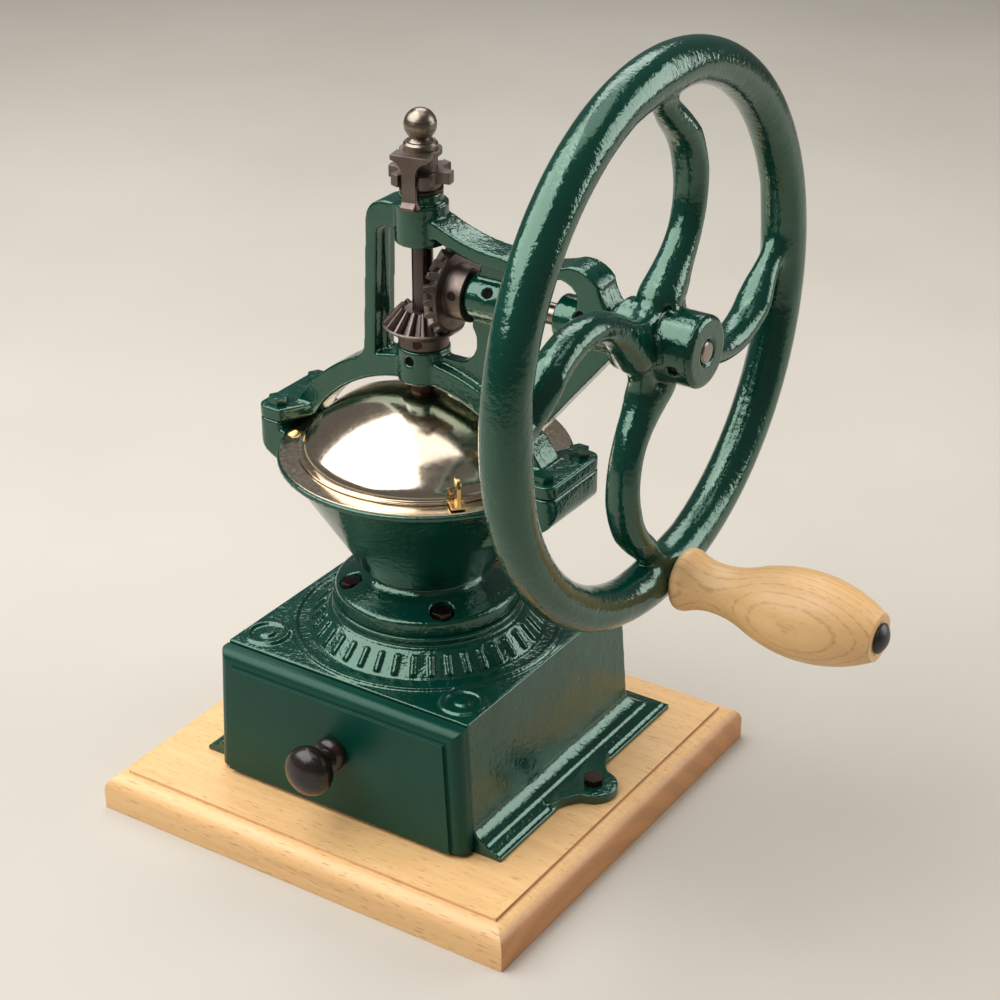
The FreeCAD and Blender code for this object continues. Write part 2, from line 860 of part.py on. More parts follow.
def drawer_screws():
    items = []
    for side in (-1, 1):
        body = doc.addObject("PartDesign::Body", "Screw")
        section = new_sketch(body, "XY_Plane")
        head = S.wood_screw_radius * 2
        outline(section, [
            (0, -S.tray_wall - S.drawer_front_depth * 0.6),
            (S.wood_screw_radius, -S.tray_wall - S.drawer_front_depth * 0.6),
            (S.wood_screw_radius, 0), (head, 0),
            (0, S.wood_screw_radius, cap_radius(head, S.wood_screw_radius)),
        ])
        spin(body, section, "V_Axis")
        place(body, side * S.drawer_screw_spread, S.tray_wall - FRONT_BACK, KNOB)
        items.append(body)
    return group("drawer_screws", items)


# Hopper and burrs

BOWL_HEAD = S.rim_radius - S.rim_overhang
LEDGE = DOME + S.rim_ledge_gap
RIVET_CIRCLE = LID_FLANGE - S.rivet_inset
FOOT_REACH = S.rim_radius + S.foot_overhang
FOOT_BOLT = FOOT_REACH - S.foot_bolt_inset


def hopper():
    crown = PEDESTAL + S.flange_crown
    lip = RIM - S.rim_lip
    body = turned("hopper", "Z", [
        (S.throat_radius, PEDESTAL), (S.flange_radius, PEDESTAL),
        (S.flange_radius, PEDESTAL + S.flange_edge),
        (S.flange_radius - S.skirting_step, PEDESTAL + S.flange_edge + S.skirting_step),
        (S.neck_radius + S.bowl_wall, crown),
        (S.neck_radius, PEDESTAL + S.neck_level, -S.bowl_wall * 1.4),
        (S.bowl_foot_radius, PEDESTAL + S.bowl_foot_level, S.bowl_wall * 1.4),
        (BOWL_HEAD, lip), (S.rim_radius, lip), (S.rim_radius, RIM), (LEDGE, RIM),
    ] + bowl_inside())
    hopper_lugs(body)
    reach = S.flange_bolt_circle * math.sqrt(0.5)
    bolts = new_sketch(body, "XY_Plane", PEDESTAL)
    seats = new_sketch(body, "XY_Plane", PEDESTAL + S.flange_edge)
    for x in (reach, -reach):
        for y in (reach, -reach):
            circle(bolts, x, y, S.bolt_radius + S.seat_gap)
            circle(seats, x, y, S.bolt_flats * 0.66)
    pocket(body, bolts, S.flange_crown, reverse=True)
    pocket(body, seats, S.flange_crown - S.flange_edge, reverse=True)
    rivets = new_sketch(body, "XY_Plane", RIM)
    for angle in RIVET_ANGLES:
        x, y = polar(RIVET_CIRCLE, angle)
        circle(rivets, x, y, S.rivet_radius / 2 + S.seat_gap)
    pocket(body, rivets, S.rim_ledge_thick)
    return body


def bowl_inside():
    """Inner side of the bowl from the ledge under the lid down to the throat."""
    return [
        (LEDGE, RIM - S.rim_ledge_thick),
        (BOWL_HEAD - S.bowl_wall * 1.5, RIM - S.rim_ledge_thick * 2),
        (S.bowl_foot_radius - S.bowl_wall, PEDESTAL + S.bowl_foot_level + S.bowl_wall),
        (S.throat_radius, PEDESTAL + S.neck_level),
    ]


def polar(radius, degrees):
    turn = math.radians(degrees)
    return radius * math.cos(turn), radius * math.sin(turn)


def hopper_lugs(body):
    """Lugs under the yoke's feet, with the same plan and a round lower edge."""
    sketch = new_sketch(body, "XZ_Plane")
    clear = LID_FLANGE + S.hopper_lug_gap
    root_x, root_z = S.bowl_foot_radius * 1.3, FOOT - S.hopper_lug_root
    run, rise = FOOT_REACH - root_x, S.hopper_lug_root - S.hopper_lug_drop
    slope = root(run * run + rise * rise)
    low = FOOT - S.hopper_lug_drop
    bend = S.hopper_lug_round * 0.58
    for side in (1, -1):
        outline(sketch, [
            (side * clear, FOOT), (side * clear, RIM), (side * LEDGE, RIM), (side * root_x, root_z),
            (side * (FOOT_REACH - bend * run / slope), low - bend * rise / slope),
            (side * FOOT_REACH, low + bend, side * S.hopper_lug_round), (side * FOOT_REACH, FOOT),
        ])
    pad(body, sketch, S.foot_half_width * 2, symmetric=True)
    corners = new_sketch(body, "XY_Plane", FOOT)
    for side in (1, -1):
        for end in (1, -1):
            outline(corners, lug_corner(side, end))
    pocket(body, corners, S.hopper_lug_root)
    groove(body, "Z", [(0, FOOT), (LEDGE, FOOT)] + bowl_inside() + [(0, PEDESTAL + S.neck_level)])
    bolts = new_sketch(body, "XY_Plane", FOOT)
    for x in (FOOT_BOLT, -FOOT_BOLT):
        for y in (S.foot_bolt_y, -S.foot_bolt_y):
            circle(bolts, x, y, S.bolt_radius + S.seat_gap)
    pocket(body, bolts, S.hopper_lug_drop * 0.8)


def lug_corner(side, end):
    """What is cut off a lug so that its corner is round in plan."""
    x, y = FOOT_REACH - S.foot_round, S.foot_half_width - S.foot_round
    past_x, past_y = FOOT_REACH + S.foot_round, S.foot_half_width + S.foot_round
    return [
        (side * x, end * past_y), (side * past_x, end * past_y), (side * past_x, end * y),
        (side * FOOT_REACH, end * y), (side * x, end * S.foot_half_width, side * end * S.foot_round),
    ]


def hopper_bolts():
    items = []
    reach = S.flange_bolt_circle * math.sqrt(0.5)
    for x in (reach, -reach):
        for y in (reach, -reach):
            bolt = hex_bolt(S.bolt_flats, S.bolt_head, S.bolt_radius, S.flange_edge + S.pedestal_rise * 0.8)
            place(bolt, x, y, PEDESTAL + S.flange_edge)
            items.append(bolt)
    return group("hopper_bolts", items)


def outer_burr():
    body = turned("outer_burr", "Z", [
        (S.burr_exit_radius, 0), (S.throat_radius - S.seat_gap, 0),
        (S.throat_radius - S.seat_gap, S.outer_burr_height), (S.burr_mouth_radius, S.outer_burr_height),
    ])
    lift(body, PEDESTAL + S.seat_gap)
    return body


def inner_burr():
    foot = S.burr_exit_radius - S.burr_gap
    bore = S.shaft_radius + S.seat_gap
    body = turned("inner_burr", "Z", [
        (bore, 0), (foot, 0), (foot - S.burr_gap, S.inner_burr_height * 0.25),
        (S.inner_burr_top_radius, S.inner_burr_height), (bore, S.inner_burr_height),
    ])
    doc.recompute()
    notch = new_sketch(body, "XY_Plane", S.inner_burr_height)
    depth = foot - S.inner_burr_top_radius
    start = S.inner_burr_top_radius - depth * 0.2
    outline(notch, [(start, 0), (foot + depth, -depth * 0.5), (foot + depth, depth * 0.5)])
    first = pocket(body, notch, S.inner_burr_height * 0.75)
    pattern(body, first, "Z_Axis", BURR_GROOVES)
    lift(body, PEDESTAL)
    return body


def burr_nut():
    prism = doc.addObject("Part::Prism", "Nut")
    prism.Polygon = 6
    prism.setExpression("Circumradius", words(S.shaft_radius * 1.9))
    prism.setExpression("Height", words(S.burr_nut_height))
    bore = doc.addObject("Part::Cylinder", "Bore")
    bore.setExpression("Radius", words(S.shaft_radius + S.seat_gap))
    bore.setExpression("Height", words(S.burr_nut_height))
    nut = doc.addObject("Part::Cut", "burr_nut")
    nut.Base = prism
    nut.Tool = bore
    lift(nut, PEDESTAL - S.burr_nut_height)
    return named("burr_nut", nut)


# Lid

LID = RIM
REAR_RADIUS = DOME - S.lid_sheet - S.door_gap
REAR_HEIGHT = S.dome_height - S.lid_sheet - S.door_gap
PIVOT = BUSH_RADIUS + S.running_gap


def dome_surface(level, depth):
    """A dome surface at a depth below the outermost one, of a dome whose lip lies at a level.

    A tight shoulder arc and a wide crown arc meet at a common tangent. Returns the
    meeting point, the foot, both radii and the level of the crown's centre.
    """
    wide, high, tight = DOME, S.dome_height, S.dome_shoulder
    broad = (wide * wide + high * high - wide * tight * 2) / (high * 2 - tight * 2)
    across, up = (wide - tight) / (broad - tight), (broad - high) / (broad - tight)
    base = level + S.lid_sheet
    bend, crown = tight - depth, broad - depth
    meet = (wide - tight + bend * across, base + bend * up)
    return meet, (wide - depth, base), bend, crown, base + high - broad


def dome_section(inset, lip, level):
    """Half section of a thin dome with a flat lip, drawn in from the outermost dome by an inset."""
    meet, foot, bend, crown, centre = dome_surface(level, inset)
    inner_meet, inner_foot, inner_bend, inner_crown, _ = dome_surface(level, inset + S.lid_sheet)
    return [
        (PIVOT, centre + on_circle(crown, PIVOT)), meet + (-crown,), foot + (-bend,),
        (lip, foot[1]), (lip, level), (inner_foot[0], level), inner_foot,
        inner_meet + (inner_bend,), (PIVOT, centre + on_circle(inner_crown, PIVOT), inner_crown),
    ]


def lid_rear():
    """Flange all the way round, with the fixed half of the dome."""
    body = ring("lid_rear", "Z", REAR_RADIUS - S.lid_sheet, LID_FLANGE, 0, S.lid_sheet)
    half = new_sketch(body, "XZ_Plane")
    outline(half, dome_section(S.lid_sheet + S.door_gap, REAR_RADIUS + S.door_lip, 0))
    spin(body, half, "V_Axis", sweep=REAR_SWEEP)
    holes = new_sketch(body, "XY_Plane", S.lid_sheet)
    for angle in RIVET_ANGLES:
        x, y = polar(RIVET_CIRCLE, angle - REAR_START)
        circle(holes, x, y, S.rivet_radius / 2 + S.seat_gap)
    pocket(body, holes, S.lid_sheet)
    body.Placement = Placement(Vector(), Rotation(Vector(0, 0, 1), REAR_START))
    lift(body, LID)
    return body


def lid_door():
    level = S.lid_sheet + S.door_gap
    body = new_body("lid_door")
    half = new_sketch(body, "XZ_Plane")
    outline(half, dome_section(0, DOME + S.door_lip, level))
    spin(body, half, "V_Axis", sweep=DOOR_SWEEP)
    _, _, _, crown, centre = dome_surface(level, 0)
    inner = crown - S.lid_sheet
    edge = PIVOT * 1.8
    collar = new_sketch(body, "XZ_Plane")
    outline(collar, [
        (PIVOT, centre + on_circle(crown, PIVOT)), (edge, centre + on_circle(crown, edge), -crown),
        (edge, centre + on_circle(inner, edge)), (PIVOT, centre + on_circle(inner, PIVOT), inner),
    ])
    spin(body, collar, "V_Axis")
    body.Placement = Placement(Vector(), Rotation(Vector(0, 0, 1), DOOR_START))
    lift(body, LID)
    return body


def lid_tab():
    """Brass tab: a foot on the door's lip and an upright finger blade."""
    body = new_body("lid_tab")
    level = S.lid_sheet * 2 + S.door_gap
    start = DOME + S.lid_sheet
    foot = new_sketch(body, "XY_Plane", level)
    reach = LID_FLANGE - S.lid_sheet
    outline(foot, [
        (start, -S.tab_width / 2), (reach, -S.tab_width / 2), (reach, S.tab_width / 2), (start, S.tab_width / 2),
    ])
    pad(body, foot, S.tab_thick / 2)
    blade = new_sketch(body, "XZ_Plane")
    low = level + S.tab_thick / 4
    mid = start + (reach - start) * 0.45
    outline(blade, [
        (mid, low), (reach, low), (reach, level + S.tab_height * 0.72),
        (mid + S.tab_thick, level + S.tab_height, (reach - mid) * 0.9), (mid, level + S.tab_height),
    ])
    pad(body, blade, S.tab_thick, symmetric=True)
    body.Placement = Placement(Vector(), Rotation(Vector(0, 0, 1), TAB_ANGLE))
    lift(body, LID)
    return body


def lid_rivets():
    items = []
    for index, angle in enumerate(RIVET_ANGLES):
        body = doc.addObject("PartDesign::Body", "Rivet")
        section = new_sketch(body, "XZ_Plane")
        shank = S.rivet_radius / 2
        outline(section, [
            (0, -S.rim_ledge_thick), (shank, -S.rim_ledge_thick), (shank, S.lid_sheet),
            (S.rivet_radius, S.lid_sheet),
            (0, S.lid_sheet + S.rivet_head, cap_radius(S.rivet_radius, S.rivet_head)),
        ])
        spin(body, section, "V_Axis")
        x, y = polar(RIVET_CIRCLE, angle)
        place(body, x, y, LID)
        items.append(body)
    return group("lid_rivets", items)


# Yoke

def yoke():
    body = new_body("yoke")
    feet(body)
    arch(body)
    upright(body)
    arm(body)
    webs(body)
    bosses(body)
    bores(body)
    return cut("yoke", body, oil_holes())


def feet(body):
    sketch = new_sketch(body, "XY_Plane", FOOT)
    half, wide = S.rib_width / 2, S.foot_half_width
    flare_x, corner_x = FOOT_BOLT * 0.92, FOOT_REACH - S.foot_round
    for side in (1, -1):
        bend = side * S.foot_round
        outline(sketch, [
            (side * ARCH_START, -half), (side * flare_x, -wide), (side * corner_x, -wide),
            (side * FOOT_REACH, S.foot_round - wide, bend), (side * FOOT_REACH, wide - S.foot_round),
            (side * corner_x, wide, bend), (side * flare_x, wide), (side * ARCH_START, half),
        ])
    pad(body, sketch, S.foot_thick)


def arch(body):
    sketch = new_sketch(body, "XZ_Plane")
    outer = on_circle(ARCH_OUTER, S.arch_drop)
    outline(sketch, [
        (outer, FOOT), (-outer, FOOT, ARCH_OUTER),
        (-ARCH_START, FOOT), (ARCH_START, FOOT, -ARCH_INNER),
    ])
    pad(body, sketch, S.rib_width, symmetric=True)


UPRIGHT_FOOT = LOWER_BOSS_TOP - S.upright_thick * 1.5
ARM_TOP = UPPER_BOSS_TOP - S.arm_thick * 0.9


def upright(body):
    """Outer rib with a flared foot and a round top corner that reaches over to the upper boss."""
    sketch = new_sketch(body, "XZ_Plane")
    head = UPPER_BOSS_TOP - S.skirting_step
    foot_z = ARCH_CENTRE + on_circle(ARCH_OUTER, S.upright_foot_x) - S.upright_thick
    inner_corner = S.upright_corner - S.upright_thick
    flare_x = S.upright_foot_x + S.upright_flare * 0.52
    flare_z = ARCH_CENTRE + on_circle(ARCH_OUTER, flare_x)
    outline(sketch, [
        (-S.upright_foot_x, flare_z + S.upright_flare * 0.87),
        (-flare_x, flare_z, -S.upright_flare), (-flare_x, flare_z - S.upright_thick),
        (-S.upright_foot_x + S.upright_thick, flare_z - S.upright_thick),
        (-S.upright_head_x + S.upright_thick, head - S.upright_thick * 2 - inner_corner),
        (-S.upright_head_x + S.upright_thick + inner_corner, head - S.upright_thick * 2, -inner_corner),
        (0, head - S.upright_thick * 2), (0, head),
        (-S.upright_head_x + S.upright_corner, head),
        (-S.upright_head_x, head - S.upright_corner, S.upright_corner),
    ])
    pad(body, sketch, S.rib_width, symmetric=True)
    web = new_sketch(body, "XZ_Plane")
    outline(web, [
        (-S.upright_foot_x + S.upright_thick / 2, foot_z), (-S.upright_web_x, LOWER_BOSS),
        (-S.upright_web_x, UPPER_BOSS + S.upright_thick),
        (-S.upright_head_x + S.upright_thick / 2, head - S.upright_corner),
    ])
    pad(body, web, S.upright_web_width, symmetric=True)
    sill = new_sketch(body, "XZ_Plane")
    outline(sill, [
        (-S.upright_foot_x, foot_z), (0, LOWER_BOSS), (0, UPRIGHT_FOOT), (-S.upright_foot_x, UPRIGHT_FOOT),
    ])
    pad(body, sill, S.rib_width, symmetric=True)


INNER_START = PITCH_PINION + S.gear_hub_length
INNER_END = INNER_START + S.inner_barrel_length
OUTER_START = INNER_END + S.barrel_spacing
OUTER_END = OUTER_START + S.outer_barrel_length
BARREL_TOP = AXLE + S.barrel_radius
ARM_DIP = BARREL_TOP + S.arm_thick * 1.95
ARM_CREST = BARREL_TOP + S.arm_thick * 2.35


def arm(body):
    """Waved rib from the upper boss over both barrels."""
    sketch = new_sketch(body, "XZ_Plane")
    dip_x = INNER_END * 0.82
    crest_x = OUTER_START + S.outer_barrel_length * 0.2
    fall_x = OUTER_END - S.arm_thick * 1.3
    outline(sketch, [
        (0, ARM_TOP - S.arm_thick), (S.upper_boss_radius, ARM_TOP - S.arm_thick * 1.15),
        (dip_x, ARM_DIP - S.arm_thick, S.arm_thick * 12),
        (crest_x - S.arm_thick / 2, ARM_CREST - S.arm_thick, S.arm_thick * 8),
        (OUTER_START + S.arm_thick * 1.6, BARREL_TOP + S.arm_thick * 0.6, -S.arm_thick * 1.6),
        (OUTER_START + S.arm_thick * 1.6, AXLE), (OUTER_END - S.arm_thick * 0.6, AXLE),
        (OUTER_END - S.arm_thick * 0.6, BARREL_TOP),
        (fall_x, BARREL_TOP + S.arm_thick * 1.5, -S.arm_thick * 3),
        (crest_x, ARM_CREST, S.arm_thick * 2.2),
        (dip_x, ARM_DIP, -S.arm_thick * 8), (S.upper_boss_radius, ARM_TOP, -S.arm_thick * 12),
        (0, ARM_TOP + S.arm_thick * 0.2),
    ])
    pad(body, sketch, S.rib_width, symmetric=True)


def webs(body):
    """Thin web between the arm, the inner barrel and the arch, and the brace to the outer barrel."""
    web = new_sketch(body, "XZ_Plane")
    foot_x = S.lower_boss_radius - S.web_width / 2
    knee_x = INNER_END * 0.93
    notch_x, notch_z = INNER_START - S.web_notch * 0.8, AXLE - S.barrel_radius * 2.05
    notch_foot = notch_z - S.web_notch
    outline(web, [
        (foot_x, LOWER_BOSS), (knee_x, LOWER_BOSS - S.arm_thick), (INNER_END, AXLE - S.barrel_radius * 2.6),
        (INNER_END, ARM_DIP - S.arm_thick / 2), (INNER_START + S.arm_thick, ARM_DIP),
        (INNER_START, AXLE), (INNER_START, notch_z + S.web_notch * 0.6),
        (notch_x, notch_foot, -S.web_notch), (foot_x, notch_foot),
    ])
    pad(body, web, S.web_width, symmetric=True)
    brace = new_sketch(body, "XZ_Plane")
    high = AXLE - S.barrel_radius * 0.5
    low = ARCH_CENTRE + on_circle(ARCH_OUTER, INNER_END) - S.arm_thick
    outline(brace, [
        (INNER_END, low), (OUTER_END - S.seat_gap, high - S.brace_thick * 0.2),
        (OUTER_END - S.brace_thick * 1.1, high + S.brace_thick * 0.4),
        (INNER_END - S.brace_thick * 0.9, low + S.brace_thick),
    ])
    pad(body, brace, S.rib_width * 0.8, symmetric=True)


def bosses(body):
    lower = new_sketch(body, "XY_Plane", LOWER_BOSS)
    circle(lower, 0, 0, S.lower_boss_radius)
    pad(body, lower, LOWER_BOSS_TOP - LOWER_BOSS)
    upper = new_sketch(body, "XY_Plane", UPPER_BOSS)
    circle(upper, 0, 0, S.upper_boss_radius)
    pad(body, upper, S.upper_boss_length)
    collar = new_sketch(body, "XY_Plane", UPPER_BOSS_TOP)
    circle(collar, 0, 0, S.upper_collar_radius)
    pad(body, collar, S.upper_collar_rise)
    inner = new_sketch(body, "YZ_Plane", INNER_START)
    circle(inner, 0, AXLE, S.barrel_radius)
    pad(body, inner, S.inner_barrel_length)
    outer = new_sketch(body, "YZ_Plane", OUTER_START)
    circle(outer, 0, AXLE, S.barrel_radius)
    pad(body, outer, S.outer_barrel_length)


def bores(body):
    for foot, top in ((UPPER_BOSS, COLLAR_TOP), (LOWER_BOSS, LOWER_BOSS_TOP)):
        spindle_bore = new_sketch(body, "XY_Plane", top)
        circle(spindle_bore, 0, 0, BUSH_SEAT)
        pocket(body, spindle_bore, top - foot)
    for start, length in ((INNER_END, S.inner_barrel_length), (OUTER_END, S.outer_barrel_length)):
        shaft_bore = new_sketch(body, "YZ_Plane", start)
        circle(shaft_bore, 0, AXLE, BUSH_SEAT)
        pocket(body, shaft_bore, length)
    bolts = new_sketch(body, "XY_Plane", FOOT + S.foot_thick)
    for x in (FOOT_BOLT, -FOOT_BOLT):
        for y in (S.foot_bolt_y, -S.foot_bolt_y):
            circle(bolts, x, y, S.bolt_radius + S.seat_gap)
    pocket(body, bolts, S.foot_thick)


def oil_holes():
    """Blind drillings that start inside each boss wall and run outwards."""
    lower = pin(S.oil_hole_radius, S.lower_boss_radius, Vector(0, -1, 0))
    lower_z = LOWER_BOSS + (LOWER_BOSS_TOP - LOWER_BOSS) * 0.7
    place(lower, y=S.oil_hole_depth - S.lower_boss_radius, z=lower_z)
    tools = [lower]
    slant = Vector(0, -math.sin(math.radians(55)), math.cos(math.radians(55)))
    inner_x = INNER_START + S.inner_barrel_length * 0.4
    outer_x = OUTER_START + S.outer_barrel_length * 0.42
    for x in (inner_x, outer_x):
        drill = pin(S.oil_hole_radius, S.barrel_radius, slant)
        depth = S.barrel_radius - S.oil_hole_depth
        place(drill, x, depth * slant.y, AXLE + depth * slant.z)
        tools.append(drill)
    return tools


def yoke_bolts():
    items = []
    for x in (FOOT_BOLT, -FOOT_BOLT):
        for y in (S.foot_bolt_y, -S.foot_bolt_y):
            bolt = hex_bolt(S.bolt_flats, S.bolt_head, S.bolt_radius, S.foot_thick + S.hopper_lug_drop * 0.6)
            place(bolt, x, y, FOOT + S.foot_thick)
            items.append(bolt)
    return group("yoke_bolts", items)


def bushes():
    upper = ring("upper_bush", "Z", BUSH_BORE, BUSH_RADIUS, 0, COLLAR_TOP - UPPER_BOSS)
    lift(upper, UPPER_BOSS)
    spigot = LID + REAR_HEIGHT - S.lid_sheet * 4
    lower = ring("lower_bush", "Z", BUSH_BORE, BUSH_RADIUS, 0, LOWER_BOSS_TOP - spigot)
    lift(lower, spigot)
    inner = ring("inner_bush", "X", BUSH_BORE, BUSH_RADIUS, INNER_START, S.inner_barrel_length)
    lift(inner, AXLE)
    outer = ring("outer_bush", "X", BUSH_BORE, BUSH_RADIUS, OUTER_START, S.outer_barrel_length)
    lift(outer, AXLE)


# Spindle, adjuster and bevel gears

WASHER = COLLAR_TOP
STAR = WASHER + S.washer_thick
STAR_PLATE = STAR + S.star_hub_length
LATCH = STAR_PLATE + S.star_thick + S.star_cap_length
FINIAL = LATCH + S.latch_thick


def spindle():
    foot = PEDESTAL - S.burr_nut_height - S.shaft_radius / 2
    chamfer = S.shaft_radius * 0.2
    return turned("spindle", "Z", [
        (0, foot), (S.shaft_radius - chamfer, foot), (S.shaft_radius, foot + chamfer),
        (S.shaft_radius, LATCH - S.seat_gap), (S.stud_radius, LATCH - S.seat_gap),
        (S.stud_radius, FINIAL + S.finial_collar), (0, FINIAL + S.finial_collar),
    ])


def thrust_washer():
    body = ring("thrust_washer", "Z", S.shaft_radius + S.seat_gap, S.washer_radius, 0,
                S.washer_thick - S.seat_gap)
    lift(body, WASHER + S.seat_gap)
    return body


def star_nut():
    bore = S.shaft_radius + S.seat_gap
    body = turned("star_nut", "Z", [
        (bore, 0), (S.star_hub_radius, 0), (S.star_hub_radius, S.star_hub_length),
        (S.star_radius, S.star_hub_length), (S.star_radius, S.star_hub_length + S.star_thick),
        (S.star_hub_radius * 0.85, S.star_hub_length + S.star_thick),
        (S.star_hub_radius * 0.85, S.star_hub_length + S.star_thick + S.star_cap_length),
        (bore, S.star_hub_length + S.star_thick + S.star_cap_length),
    ])
    doc.recompute()
    notch = new_sketch(body, "XY_Plane", S.star_hub_length + S.star_thick)
    circle(notch, S.star_radius + S.face_gap * 2.6, 0, S.star_notch)
    first = pocket(body, notch, S.star_thick)
    pattern(body, first, "Z_Axis", STAR_LUGS)
    body.Placement = Placement(Vector(), Rotation(Vector(0, 0, 1), LATCH_ANGLE))
    lift(body, STAR)
    return body


def latch_strap():
    """Bent strap: a plate under the finial, a waisted arm through one star notch and a flared foot."""
    body = new_body("latch_strap")
    plate = new_sketch(body, "XY_Plane")
    circle(plate, 0, 0, S.latch_plate)
    circle(plate, 0, 0, S.stud_radius + S.seat_gap)
    pad(body, plate, S.latch_thick)
    inner = S.latch_reach
    outer = inner + S.latch_thick
    drop = LATCH - UPPER_BOSS_TOP - S.face_gap
    tongue = new_sketch(body, "XY_Plane")
    half = S.latch_shoulder / 2
    outline(tongue, [(S.stud_radius * 2, -half), (outer, -half), (outer, half), (S.stud_radius * 2, half)])
    pad(body, tongue, S.latch_thick)
    arm = new_sketch(body, "YZ_Plane", inner)
    waist, wide = S.latch_width / 2, S.latch_foot_width / 2
    neck = LATCH - STAR_PLATE - S.star_thick - S.face_gap
    pull = half - waist
    hollow = cap_radius(neck, pull)
    heel = S.latch_foot_height - drop
    spread = cap_radius(S.latch_foot_height, wide - waist)
    outline(arm, [
        (-half, S.latch_thick), (-half, 0), (-waist, -neck, -hollow), (-waist, heel),
        (-wide, -drop, -spread), (wide, -drop), (waist, heel, -spread), (waist, -neck),
        (half, 0, -hollow), (half, S.latch_thick),
    ])
    pad(body, arm, S.latch_thick)
    foot = new_sketch(body, "XZ_Plane")
    flare = S.latch_thick * 1.1
    outline(foot, [
        (inner, heel), (inner, flare - drop), (inner + flare * 0.5, -drop), (outer + flare, -drop),
        (outer + flare, S.latch_thick * 0.5 - drop), (outer, heel - S.latch_thick),
    ])
    pad(body, foot, S.latch_width, symmetric=True)
    body.Placement = Placement(Vector(), Rotation(Vector(0, 0, 1), LATCH_ANGLE))
    lift(body, LATCH)
    return body


def ball_finial():
    neck = S.finial_collar + S.finial_neck
    ball = neck + on_circle(S.finial_ball_radius, S.finial_neck_radius)
    waist = ball - on_circle(S.finial_ball_radius, S.finial_neck_radius)
    body = turned("ball_finial", "Z", [
        (0, 0), (S.finial_collar_radius, 0), (S.finial_collar_radius, S.finial_collar * 0.7),
        (S.finial_collar_radius * 0.9, S.finial_collar), (S.finial_neck_foot, S.finial_collar),
        (S.finial_neck_radius, waist), (S.finial_ball_radius, ball, S.finial_ball_radius),
        (0, ball + S.finial_ball_radius, S.finial_ball_radius),
    ])
    hole = new_sketch(body, "XY_Plane")
    circle(hole, 0, 0, S.stud_radius + S.seat_gap)
    pocket(body, hole, S.finial_collar + S.seat_gap, reverse=True)
    lift(body, FINIAL)
    return body


def tooth_space(teeth, mate):
    """Half angle of a tooth space against radius, on the plane that cuts the pitch cone at its large end.

    Each pair is (radius, half angle) from root to beyond the tip, found on the back cone
    and carried along the line to the common apex of both pitch cones.
    """
    module = S.gear_module.value
    pitch = module * teeth / 2
    cone = math.atan2(teeth, mate)
    reach = pitch / math.tan(cone)
    virtual = pitch / math.cos(cone)
    base = virtual * math.cos(math.radians(PRESSURE_ANGLE))
    involute = math.tan(math.radians(PRESSURE_ANGLE)) - math.radians(PRESSURE_ANGLE)
    half_tooth = (math.pi * module / 2 - S.gear_backlash.value) / 2
    pairs = []
    for share in (-1.25, -0.8, -0.4, 0.0, 0.45, 0.9, 1.25):
        height = module * share
        angle = math.acos(min(base / (virtual + height), 1.0))
        thick = half_tooth / virtual + involute - (math.tan(angle) - angle)
        radius = pitch + height * math.cos(cone)
        along = reach - height * math.sin(cone)
        pairs.append((radius * reach / along, math.pi / teeth - thick / math.cos(cone)))
    return pairs


